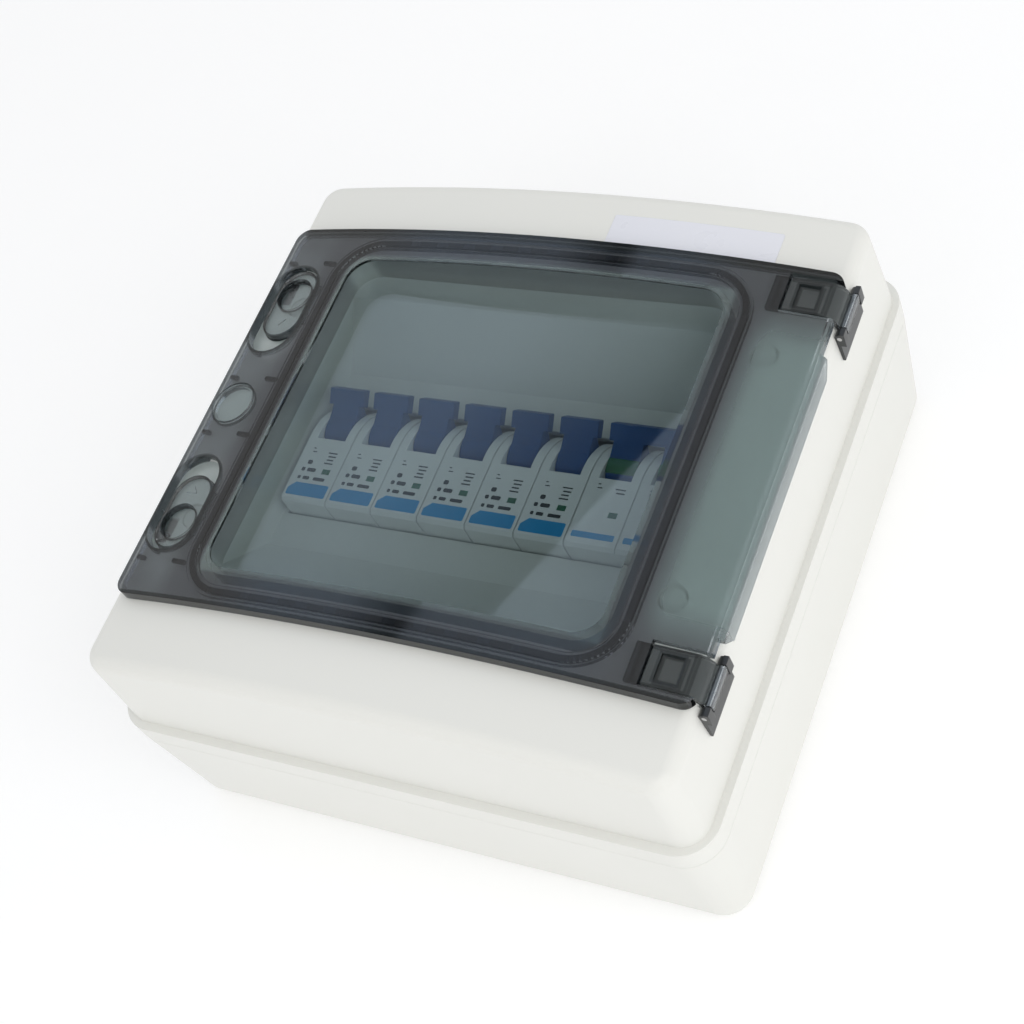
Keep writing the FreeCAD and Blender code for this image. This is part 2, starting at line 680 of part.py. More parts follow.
def module_cuts(x):
    """Handle slot, terminals, clip channel and window of the module centred on x."""
    half = CASE_W / 2 - CHEEK_W
    cuts = [rod(HUB_POCKET_R, 2 * half, (x - half, PIVOT_Y, PIVOT_Z), (1, 0, 0))]
    low = PIVOT_Z - POCKET_FLOOR
    mouth = [(NOSE_STEP_Y, NOSE_Z + 1.0), (NOSE_STEP_Y, PIVOT_Z), (PIVOT_Y, low),
             (-NOSE_HY - 1.0, low), (-NOSE_HY - 1.0, NOSE_Z + 1.0)]
    cuts.append(profile(mouth, "X", x - half, x + half))
    cuts.append(rod(PIN_R + PIN_FIT, CASE_W - 2.0, (x - CASE_W / 2 + 1.0, PIVOT_Y, PIVOT_Z), (1, 0, 0)))
    for sy in (1, -1):
        ys = sorted((sy * (BODY_HY + 1.0), sy * (BODY_HY - TERMINAL_DEPTH)))
        half_t = TERMINAL_W / 2
        cuts.append(block(x - half_t, x + half_t, ys[0], ys[1], TERMINAL_Z0, TERMINAL_Z1))
        cuts.append(rod(ACCESS_R, TALL, (x, sy * TERMINAL_Y, TERMINAL_Z1 - 1.0), (0, 0, 1)))
    half_c = CLIP_W / 2 + RAIL_FIT
    cuts.append(block(x - half_c, x + half_c, -BODY_HY - 1.0, -RAIL_HY, 0.0, BODY_BACK_Z + CLIP_T + RAIL_FIT))
    wx = x + WINDOW_X
    cuts.append(block(wx - WINDOW_W / 2, wx + WINDOW_W / 2, WINDOW_Y - WINDOW_H / 2, WINDOW_Y + WINDOW_H / 2,
                      NOSE_Z - WINDOW_T, NOSE_Z + 1.0))
    return cuts


def breaker_case(x):
    """Case of one single-pole breaker."""
    case = case_body(x - CASE_W / 2, x + CASE_W / 2)
    for cut in module_cuts(x):
        case = case.cut(cut)
    return case


def main_poles():
    """Middles of the two poles of the main breaker."""
    return (MAIN_X - MODULE / 2, MAIN_X + MODULE / 2)


def main_breaker_case():
    """Case of the two-pole main breaker, with a fine groove between its poles."""
    half = MODULE - MODULE_GAP / 2
    case = case_body(MAIN_X - half, MAIN_X + half)
    for x in main_poles():
        for cut in module_cuts(x):
            case = case.cut(cut)
    groove = MODULE_GAP / 2
    seam = case_body(MAIN_X - groove, MAIN_X + groove)
    keep = case_body(MAIN_X - groove, MAIN_X + groove)
    keep.translate(vec(0, 0, -POLE_GROOVE))
    deep = block(MAIN_X - 1.0, MAIN_X + 1.0, -NOSE_HY - 1.0, NOSE_HY + 1.0, SHOULDER_Z + 1.0, TALL)
    return case.cut(seam.cut(keep).common(deep))


def all_modules():
    """Middles of all eight modules."""
    return [module_middle(i) for i in range(1, SINGLE_COUNT + 1)] + list(main_poles())


def indicator_windows():
    """Contact position windows let into the noses."""
    panes = []
    for x in all_modules():
        wx = x + WINDOW_X
        panes.append(block(wx - WINDOW_W / 2, wx + WINDOW_W / 2, WINDOW_Y - WINDOW_H / 2,
                           WINDOW_Y + WINDOW_H / 2, NOSE_Z - WINDOW_T, NOSE_Z - 0.1))
    return group(panes)


def rail_clips():
    """Spring clips that lock the breakers on the rail."""
    clips = []
    for x in all_modules():
        z0 = BODY_BACK_Z + RAIL_FIT / 2
        y0 = -BODY_HY - CLIP_TAB
        y1 = -RAIL_HY + CLIP_REACH
        clips.append(block(x - CLIP_W / 2, x + CLIP_W / 2, y0, y1, z0, z0 + CLIP_T))
    return group(clips)


def breaker_clamps():
    """Wire clamp cages in the terminals."""
    cages = []
    for x in all_modules():
        for sy in (1, -1):
            half = TERMINAL_W / 2 - CLAMP_FIT
            y = sy * TERMINAL_Y
            hy = CLAMP_HY
            z0 = TERMINAL_Z0
            z1 = TERMINAL_Z1 - CLAMP_FIT
            cage = block(x - half, x + half, y - hy, y + hy, z0, z1)
            wall = CLAMP_WALL
            cage = cage.cut(block(x - half + wall, x + half - wall, y - hy, y + hy, z0 + wall, z1 - 2 * wall))
            cages.append(cage.cut(rod(CLAMP_SCREW_R + THREAD_FIT, TALL, (x, y, z1 - 3 * wall), (0, 0, 1))))
    return group(cages)


def terminal_screws():
    """Clamp screws under the access holes of the shoulders."""
    screws = []
    for x in all_modules():
        for sy in (1, -1):
            y = sy * TERMINAL_Y
            tip = TERMINAL_Z1 - CLAMP_FIT - 3 * CLAMP_WALL
            screw = rod(CLAMP_SCREW_R, CLAMP_SCREW_TOP_Z - tip, (x, y, tip), (0, 0, 1))
            half = SLOT_W / 2
            reach = 2 * CLAMP_SCREW_R
            slot = block(x - reach, x + reach, y - half, y + half, CLAMP_SCREW_TOP_Z - SLOT_DEPTH, TALL)
            screws.append(screw.cut(slot))
    return group(screws)


def handle_pins():
    """Pivot pins of the handles, held in the cheeks of the cases."""
    pins = []
    for x in all_modules():
        length = CASE_W - 2 * PIN_END
        pins.append(rod(PIN_R, length, (x - length / 2, PIVOT_Y, PIVOT_Z), (1, 0, 0)))
    return group(pins)


def lever_profile(x0, x1, thumb_only):
    """Lever of a handle between two side planes; the thumb alone when asked."""
    ty, tz = THUMB_START
    ey, ez = THUMB_TIP
    length = math.hypot(ey - ty, ez - tz)
    ny = (ez - tz) / length * -THUMB_T
    nz = (ey - ty) / length * THUMB_T
    front = [(ty, tz), (ey, ez)]
    back = [(ey + 1.25 * ny, ez + nz), (ty + ny, tz + nz)]
    if not thumb_only:
        front = [(-1.0, HUB_R - 0.3)] + front
        back = back + [(-HUB_R + 1.0, 2.0), (-1.0, 0.0)]
    points = [(PIVOT_Y + y, PIVOT_Z + z) for y, z in front + back]
    return profile(points, "X", x0, x1)


def handle_body(centres):
    """A handle with one neck per pole and one thumb bar across them."""
    half = CASE_W / 2 - CHEEK_W - HANDLE_FIT
    parts = []
    for x in centres:
        parts.append(rod(HUB_R, 2 * half, (x - half, PIVOT_Y, PIVOT_Z), (1, 0, 0)))
        parts.append(lever_profile(x - half, x + half, False))
    thumb_x0 = min(centres) - THUMB_W / 2
    thumb_x1 = max(centres) + THUMB_W / 2
    thumb = lever_profile(thumb_x0, thumb_x1, True)
    parts.append(thumb)
    handle = joined(parts)
    bore_start = (thumb_x0 - MODULE / 2, PIVOT_Y, PIVOT_Z)
    return handle.cut(rod(PIN_R + PIN_FIT, thumb_x1 - thumb_x0 + MODULE, bore_start, (1, 0, 0)))


def flag_sector(x):
    """Sector of the hub rim that carries the flag."""
    half = CASE_W / 2 - CHEEK_W - HANDLE_FIT
    ring = rod(HUB_R, 2 * half, (x - half, PIVOT_Y, PIVOT_Z), (1, 0, 0))
    ring = ring.cut(rod(FLAG_R, 2 * half, (x - half, PIVOT_Y, PIVOT_Z), (1, 0, 0)))
    reach = 2 * HUB_R
    rays = [(PIVOT_Y, PIVOT_Z)]
    for angle in (FLAG_FROM, FLAG_TO):
        turn = math.radians(angle)
        rays.append((PIVOT_Y + reach * math.cos(turn), PIVOT_Z + reach * math.sin(turn)))
    return ring.common(profile(rays, "X", x - half, x + half))


def main_handle():
    """Linked handle of the two-pole main breaker."""
    handle = handle_body(main_poles())
    for x in main_poles():
        handle = handle.cut(flag_sector(x))
    return handle


def main_handle_flags():
    """Green flags in the hubs of the main handle, in view when it is off."""
    return group(flag_sector(x) for x in main_poles())


# ================================================================ door
def door_plan(inset, z0):
    """The door's outline, or its inside when inset, up to well above its face."""
    return rounded_prism(DOOR_HX - inset, DOOR_HY - inset, DOOR_R - inset, z0, TALL, DOOR_X)


def hinge_apron():
    """Apron of the door that hangs over the cover's wall between the hinges."""
    edge_x = DOOR_X - DOOR_HX
    top = arch_z(edge_x, DOOR_RISE)
    inner_x = SKIRT_X + SKIRT_T
    points = [
        (edge_x + DOOR_WALL, top), (edge_x, top), (SKIRT_X, top - SKIRT_SHOULDER), (SKIRT_X, SKIRT_Z),
        (inner_x, SKIRT_Z), (inner_x, LIP_Z), (edge_x + DOOR_WALL, LIP_Z),
    ]
    apron = profile(points, "Y", SKIRT_Y0 - SKIRT_SLANT, SKIRT_Y1 + SKIRT_SLANT).common(under_arch(DOOR_RISE))
    slope = [
        (SKIRT_Y0 - SKIRT_SLANT, top + 1.0), (SKIRT_Y0 - SKIRT_SLANT, LIP_Z), (SKIRT_Y0, SKIRT_Z),
        (SKIRT_Y1, SKIRT_Z), (SKIRT_Y1 + SKIRT_SLANT, LIP_Z), (SKIRT_Y1 + SKIRT_SLANT, top + 1.0),
    ]
    return apron.common(profile(slope, "X", -TALL, 0.0))


def door_shell():
    """Smoked door: arched frame, recessed flat window, latch pockets and hinge notches."""
    shell = door_plan(0.0, LIP_Z).common(under_arch(DOOR_RISE))
    shell = shell.cut(door_plan(DOOR_WALL, LIP_Z).common(under_arch(DOOR_RISE - DOOR_WALL)))
    inside = block(DOOR_X - DOOR_HX + LIP_T, DOOR_X + DOOR_HX - LIP_T, -TALL, TALL, LAND_Z, TALL)
    side_cut = block(-TALL, TALL, DOOR_HY - DOOR_R, TALL, 0.0, TALL).common(under_arch(DOOR_GAP, TALL))
    shell = shell.cut(inside.common(under_arch(DOOR_GAP))).cut(side_cut).cut(mirrored_y(side_cut))
    wall = WINDOW_WALL
    tub = rounded_prism(WINDOW_HX + wall, WINDOW_HY + wall, WINDOW_R + wall, PANE_TOP_Z - PANE_T, TALL)
    additions = [tub.common(under_arch(DOOR_RISE)), hinge_apron(), seal_ribs(), lock_boss()]
    for sy in (1, -1):
        additions.append(pocket_collar(sy))
    shell = joined([shell] + additions)
    shell = shell.cut(rounded_prism(WINDOW_HX, WINDOW_HY, WINDOW_R, PANE_TOP_Z, TALL))
    for sy in (1, -1):
        shell = shell.cut(stadium(POCKET_X, sy * POCKET_Y, POCKET_W, POCKET_L, LAND_Z, TALL))
        y_sides = sorted((sy * (KNUCKLE_Y0 - NOTCH_GAP), sy * (KNUCKLE_Y1 + NOTCH_GAP)))
        shell = shell.cut(block(-TALL, NOTCH_X, y_sides[0], y_sides[1], LAND_Z, TALL))
    return shell.cut(lock_score())


def stadium(x, y, width, length, z0, z1):
    """An upright prism with round ends, long along Y."""
    return rounded_prism(width / 2, length / 2, width / 2 - 0.01, z0, z1, x, y)


def between_arches(shape, low, high):
    """The part of a shape between two heights above the cover's arch."""
    return shape.common(under_arch(high)).cut(under_arch(low))


def pocket_collar(sy):
    """Wall round the outer half of one latch pocket."""
    ring = stadium(POCKET_X, sy * POCKET_Y, POCKET_W + 2 * LIP_T, POCKET_L + 2 * LIP_T, LAND_Z, TALL)
    ring = ring.common(block(POCKET_X + 1.0, DOOR_X + DOOR_HX - 0.1, -TALL, TALL, LAND_Z, TALL))
    return between_arches(ring, DOOR_GAP, DOOR_RISE - 0.5)


def seal_ribs():
    """Two ribs under the door that hold the gasket between them."""
    ribs = []
    gap = SEAL_W / 2
    for inner, outer in ((gap, gap + SEAL_RIB), (-gap - SEAL_RIB, -gap)):
        big = rounded_prism(SEAL_HX + outer, SEAL_HY + outer, SEAL_R + outer, LAND_Z, TALL)
        rib = big.cut(rounded_prism(SEAL_HX + inner, SEAL_HY + inner, SEAL_R + inner, LAND_Z, TALL))
        top = DOOR_RISE - DOOR_WALL
        ribs.append(between_arches(rib, top - SEAL_RIB_H, top + 0.5))
    return joined(ribs)


def lock_boss():
    """Ring under the blank where a lock can be fitted."""
    ring = rod(LOCK_R, TALL, (LOCK_X, 0, LAND_Z), (0, 0, 1))
    ring = ring.cut(rod(LOCK_R - LOCK_WALL, TALL, (LOCK_X, 0, LAND_Z), (0, 0, 1)))
    return between_arches(ring, 2 * DOOR_GAP, DOOR_RISE - 0.5)


def lock_score():
    """Fine groove in the door's face round the lock blank."""
    ring = rod(LOCK_R, TALL, (LOCK_X, 0, LAND_Z), (0, 0, 1))
    ring = ring.cut(rod(LOCK_R - LOCK_GROOVE, TALL, (LOCK_X, 0, LAND_Z), (0, 0, 1)))
    return ring.cut(under_arch(DOOR_RISE - LOCK_GROOVE))


def door_gasket():
    """Soft seal in the channel under the door."""
    half = SEAL_W / 2
    ring = rounded_prism(SEAL_HX + half, SEAL_HY + half, SEAL_R + half, LAND_Z, TALL)
    ring = ring.cut(rounded_prism(SEAL_HX - half, SEAL_HY - half, SEAL_R - half, LAND_Z, TALL))
    return between_arches(ring, DOOR_GAP, DOOR_RISE - DOOR_WALL)


# ================================================================ hinge
def hinge_arm():
    """Arm that runs from under the door over the cover's edge to its knuckle (+Y hinge)."""
    z = HINGE_Z
    points = [(ARM_OUTER_X, z - ARM_LOW), (ARM_OUTER_X, z + ARM_HIGH)]
    points += [(x, z + up) for x, up in ARM_OUTSIDE]
    points += [
        (ARM_CREST_X, arch_z(ARM_CREST_X, DOOR_RISE) - ARM_CREST_DROP),
        (NOTCH_X - 1.0, arch_z(NOTCH_X, DOOR_RISE) - ARM_NOTCH_DROP),
        (ARM_TAIL_X, arch_z(ARM_TAIL_X, DOOR_RISE)),
        (ARM_TAIL_X, arch_z(ARM_TAIL_X, DOOR_GAP)),
    ]
    points += [(x, z + up) for x, up in ARM_INSIDE]
    arm = profile(points, "Y", KNUCKLE_Y0, KNUCKLE_Y1)
    tail = block(NOTCH_X - 0.4, ARM_TAIL_X, 0.0, TALL, LAND_Z, TALL)
    arm = arm.cut(tail.cut(under_arch(DOOR_RISE - DOOR_WALL)))
    arm = arm.cut(under_arch(DOOR_GAP).common(block(ARM_CREST_X, 0.0, 0.0, TALL, 0.0, TALL)))
    knuckle = rod(KNUCKLE_R, KNUCKLE_Y1 - KNUCKLE_Y0, (HINGE_X, KNUCKLE_Y0, z), (0, 1, 0))
    arm = joined([arm, knuckle])
    bore = rod(HINGE_PIN_R + HINGE_PIN_FIT, TALL, (HINGE_X, 0.0, z), (0, 1, 0))
    panel_y0 = KNUCKLE_Y0 + ARM_PANEL_EDGE
    panel_y1 = KNUCKLE_Y1 - ARM_PANEL_EDGE
    panel = block(ARM_PANEL_X0, ARM_PANEL_X1, panel_y0, panel_y1, LAND_Z, TALL)
    return arm.cut(bore).cut(panel.cut(under_arch(DOOR_RISE - ARM_PANEL_DEPTH)))


def lug_spans():
    """The two stretches of Y that the bracket's lugs take (+Y hinge)."""
    low = KNUCKLE_Y0 - LUG_GAP
    high = KNUCKLE_Y1 + LUG_GAP
    return ((low - LUG_T, low), (high, high + LUG_T))


def hinge_bracket():
    """Bracket on the cover's side wall with two lugs round the pin (+Y hinge)."""
    x, z = HINGE_X, HINGE_Z
    wall_x = -skirt_half(FOOT_HX, BRACKET_Z0)
    inside_x = wall_x + COVER_WALL
    foot_z = z - ARM_LOW - ARM_HIGH
    parts = []
    for y0, y1 in lug_spans():
        parts.append(rod(LUG_R, y1 - y0, (x, y0, z), (0, 1, 0)))
        parts.append(block(ARM_OUTER_X, inside_x, y0, y1, foot_z, z))
        parts.append(block(ARM_OUTER_X, x, y0, y1, z, z + ARM_HIGH))
    low = lug_spans()[0][0]
    high = lug_spans()[1][1]
    top = z - math.hypot(ARM_OUTER_X - x, ARM_LOW) - RELIEF_GAP
    parts.append(block(wall_x - BRACKET_T, inside_x, low, high, BRACKET_Z0, top))
    bracket = joined(parts).cut(cover_skirt(0.0, LEDGE_Z))
    return bracket.cut(rod(HINGE_PIN_R, TALL, (x, 0.0, z), (0, 1, 0)))


def hinge_pin():
    """Pin pressed into both lugs of the bracket (+Y hinge)."""
    low = lug_spans()[0][0]
    high = lug_spans()[1][1]
    return rod(HINGE_PIN_R, high - low, (HINGE_X, low, HINGE_Z), (0, 1, 0))


# ================================================================ latches
def latch_slider():
    """Slider in the +Y latch pocket, with a finger scoop and a mark."""
    x0 = POCKET_X - POCKET_W / 2 + SLIDER_GAP
    x_mid = x0 + SLIDER_W / 2
    y1 = POCKET_Y + POCKET_L / 2 - SLIDER_END_GAP
    y_mid = y1 - SLIDER_L / 2
    y0 = y1 - SLIDER_L
    body = between_arches(stadium(x_mid, y_mid, SLIDER_W, SLIDER_L, LAND_Z, TALL), SLIDER_LOW, SLIDER_TOP)
    flange = block(x0 - FLANGE_W, x_mid, y0 + FLANGE_END, y1 - FLANGE_END, LAND_Z, TALL)
    slider = joined([body, between_arches(flange, SLIDER_LOW, FLANGE_TOP)])
    scoop = rod(SCOOP_R, TALL, (x_mid, y1 - SLIDER_W / 2 - SCOOP_INSET, LAND_Z), (0, 0, 1))
    slider = slider.cut(scoop.cut(under_arch(SCOOP_FLOOR)))
    base_y = y0 + MARK_INSET
    mark = [vec(x_mid - MARK_HX, base_y, LAND_Z), vec(x_mid + MARK_HX, base_y, LAND_Z),
            vec(x_mid, base_y - MARK_LONG, LAND_Z)]
    pointer = Part.Face(Part.makePolygon(mark + mark[:1])).extrude(vec(0, 0, TALL))
    slider = joined([slider, between_arches(pointer, SLIDER_TOP - 0.5, SLIDER_TOP + MARK_H)])
    return slider.cut(latch_hook())


def latch_hook():
    """Hook let into the underside of the +Y slider, reaching into the cover's slot."""
    hook = block(HOOK_X - HOOK_W / 2, HOOK_X + HOOK_W / 2, HOOK_Y - HOOK_T / 2, HOOK_Y + HOOK_T / 2,
                 arch_z(HOOK_X) - HOOK_DEPTH, TALL)
    return hook.common(under_arch(SLIDER_LOW + HOOK_ROOT))


# ================================================================ all the pieces
def pieces():
    """Every node name with its shape."""
    made = {
        "rear_base": rear_base(),
        "cover_gasket": cover_gasket(),
        "front_cover": front_cover(),
        "cover_screws": cover_screws(),
        "rating_label": rating_label(),
        "din_rail": din_rail(),
        "rail_screws": rail_screws(),
        "neutral_bar": wiring_bar(1),
        "neutral_bar_holder": bar_holder(1),
        "earth_bar": wiring_bar(-1),
        "earth_bar_holder": bar_holder(-1),
        "bar_screws": bar_screws(),
        "comb_busbar": comb_busbar(),
        "busbar_cover": busbar_cover(),
        "main_breaker_case": main_breaker_case(),
        "indicator_windows": indicator_windows(),
        "rail_clips": rail_clips(),
        "breaker_clamps": breaker_clamps(),
        "terminal_screws": terminal_screws(),
        "handle_pins": handle_pins(),
        "main_handle": main_handle(),
        "main_handle_flags": main_handle_flags(),
        "door_shell": door_shell(),
        "door_gasket": door_gasket(),
        "hinge_arm_top": hinge_arm(),
        "hinge_arm_bottom": mirrored_y(hinge_arm()),
        "hinge_bracket_top": hinge_bracket(),
        "hinge_bracket_bottom": mirrored_y(hinge_bracket()),
        "hinge_pin_top": hinge_pin(),
        "hinge_pin_bottom": mirrored_y(hinge_pin()),
        "latch_slider_top": latch_slider(),
        "latch_slider_bottom": mirrored_y(latch_slider()),
        "latch_hook_top": latch_hook(),
        "latch_hook_bottom": mirrored_y(latch_hook()),
    }
    for i in range(1, SINGLE_COUNT + 1):
        x = module_middle(i)
        made[f"breaker_case_{i}"] = breaker_case(x)
        made[f"handle_{i}"] = handle_body((x,))
    return made


def main():
    """Write one STEP file per node."""
    os.makedirs("parts", exist_ok=True)
    for name, shape in pieces().items():
        box = shape.BoundBox
        valid = shape.isValid()
        print(f"{name:22s} solids {len(shape.Solids):2d} valid {valid} volume {shape.Volume:10.1f} "
              f"x {box.XMin:.1f}..{box.XMax:.1f} y {box.YMin:.1f}..{box.YMax:.1f} "
              f"z {box.ZMin:.1f}..{box.ZMax:.1f}")
        shape.exportStep(f"parts/{name}.step")


main()
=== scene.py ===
"""Looks for a surface-mounted combiner box with a smoked door and a row of modular breakers.

Metres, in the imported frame: +Z comes out through the door, +Y is up and +X is the latch side. Sizes in
the classes are in millimetres and are turned into metres where a mesh is made.
"""

import logging
import math
from dataclasses import dataclass, field
from enum import Enum

import bmesh
import bpy
from mathutils import Matrix, Vector


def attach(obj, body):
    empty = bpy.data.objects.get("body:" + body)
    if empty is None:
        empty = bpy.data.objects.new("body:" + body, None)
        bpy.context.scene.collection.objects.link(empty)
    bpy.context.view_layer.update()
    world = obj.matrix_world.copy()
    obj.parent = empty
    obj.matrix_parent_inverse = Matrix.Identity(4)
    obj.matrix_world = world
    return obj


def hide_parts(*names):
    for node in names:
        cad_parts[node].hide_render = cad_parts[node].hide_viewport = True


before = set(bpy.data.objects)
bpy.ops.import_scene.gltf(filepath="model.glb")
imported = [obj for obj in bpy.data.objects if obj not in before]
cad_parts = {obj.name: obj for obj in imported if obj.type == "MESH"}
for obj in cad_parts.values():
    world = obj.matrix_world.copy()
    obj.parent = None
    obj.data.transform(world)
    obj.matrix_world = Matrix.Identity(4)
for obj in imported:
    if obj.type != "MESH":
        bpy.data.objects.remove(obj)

log = logging.getLogger("combiner_box")

MM = 0.001
PLASTIC_IOR = 1.5
SMOKED_IOR = 1.45
COAT_ROUGHNESS = 0.15
MERGE = 0.002
SLIVER = 0.001
FLAT_TURN = 0.15
SHORTEST_EDGE = 0.88
FLAT_WEIGHT = 80
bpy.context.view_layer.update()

Colour = tuple[float, float, float]
Point = tuple[float, float, float]
Socket = bpy.types.NodeSocket


# ---------------------------------------------------------------------------- small helpers
def linear(red: int, green: int, blue: int) -> Colour:
    """Turn a colour given as 0 to 255 display values into linear light.

    Args:
        red: Red display value.
        green: Green display value.
        blue: Blue display value.

    Returns:
        The linear colour.
    """
    out = []
    for value in (red, green, blue):
        share = value / 255
        out.append(share / 12.92 if share <= 0.04045 else ((share + 0.055) / 1.055) ** 2.4)
    return (out[0], out[1], out[2])


def rgba(colour: Colour) -> tuple[float, float, float, float]:
    """Give an opaque colour with four numbers."""
    return (*colour, 1.0)


class Body(Enum):
    """The bodies that aren't one of a numbered or named row."""

    ENCLOSURE = "enclosure"
    DOOR = "door"
    MAIN_LEVER = "main_lever"


class Edge(Enum):
    """Radius of a moulded or cut edge, in millimetres."""

    FINE = 0.12
    CRISP = 0.2
    SOFT = 0.35


# ---------------------------------------------------------------------------- node graphs
class Graph:
    """A short way to add and join nodes in one material or group."""

    def __init__(self, tree: bpy.types.NodeTree) -> None:
        """Keep the tree and empty it."""
        self.tree = tree
        tree.nodes.clear()

    def node(self, kind: str, **settings: object) -> bpy.types.Node:
        """Add a node.

        Args:
            kind: Blender's name of the node type.
            **settings: Properties of the node and their values.

        Returns:
            The new node.
        """
        made = self.tree.nodes.new(kind)
        for name, value in settings.items():
            setattr(made, name, value)
        return made

    def join(self, source: Socket, target: Socket) -> None:
        """Link an output to an input."""
        self.tree.links.new(source, target)

    def feed(self, value: object, target: Socket) -> None:
        """Link a socket to an input, or set a constant on it.

        Args:
            value: A socket, a number or a colour.
            target: The input.
        """
        if isinstance(value, Socket):
            self.join(value, target)
        else:
            target.default_value = value

    def math(self, operation: str, first: object, second: object = 0.0) -> Socket:
        """Add a Math node.

        Args:
            operation: What the node works out.
            first: A socket or a number.
            second: A socket or a number.

        Returns:
            Its output.
        """
        made = self.node("ShaderNodeMath", operation=operation)
        self.feed(first, made.inputs[0])
        self.feed(second, made.inputs[1])
        return made.outputs[0]

    def length(self, across: Socket, along: Socket) -> Socket:
        """Work out the length of a flat vector.

        Args:
            across: Its first part.
            along: Its second part.

        Returns:
            The length.
        """
        squares = [self.math("MULTIPLY", part, part) for part in (across, along)]
        return self.math("SQRT", self.math("ADD", *squares))

    def ramp(self, value: object, low: float, high: float, out_low: float = 0.0,
             out_high: float = 1.0) -> Socket:
        """Map a range of values onto another, held at both ends.

        Args:
            value: A socket or a number.
            low: Start of the range that comes in.
            high: End of the range that comes in.
            out_low: What the start gives.
            out_high: What the end gives.

        Returns:
            The mapped value.
        """
        made = self.node("ShaderNodeMapRange", clamp=True)
        for index, number in enumerate((value, low, high, out_low, out_high)):
            self.feed(number, made.inputs[index])
        return made.outputs[0]

    def blend(self, share: object, first: object, second: object) -> Socket:
        """Mix two colours.

        Args:
            share: How much of the second colour shows.
            first: A socket or a colour.
            second: A socket or a colour.

        Returns:
            The mixed colour.
        """
        made = self.node("ShaderNodeMix", data_type="RGBA", clamp_factor=True)
        self.feed(share, made.inputs[0])
        self.feed(first, made.inputs[6])
        self.feed(second, made.inputs[7])
        return made.outputs[2]

    def noise(self, scale: object, detail: float = 3.0, stretch: Point = (1, 1, 1)) -> Socket:
        """Add noise on the piece's own coordinates.

        Args:
            scale: A socket or a number.
            detail: Octaves of the noise.
            stretch: Scale of the pattern along each axis.

        Returns:
            The noise value.
        """
        made = self.node("ShaderNodeTexNoise")
        self.join(self.place(stretch), made.inputs["Vector"])
        self.feed(scale, made.inputs["Scale"])
        made.inputs["Detail"].default_value = detail
        return made.outputs[0]

    def place(self, stretch: Point = (1, 1, 1)) -> Socket:
        """Give the piece's own coordinates, stretched along each axis.

        Args:
            stretch: Scale along each axis.

        Returns:
            The coordinates.
        """
        where = self.node("ShaderNodeTexCoord")
        mapping = self.node("ShaderNodeMapping")
        mapping.inputs["Scale"].default_value = stretch
        self.join(where.outputs["Object"], mapping.inputs["Vector"])
        return mapping.outputs[0]


class Effect(Enum):
    """Effects that several finishes share."""

    GRAIN = "moulding_grain"
    DRIFT = "tone_drift"
    DUST = "resting_dust"
    HAIRLINES = "hairlines"


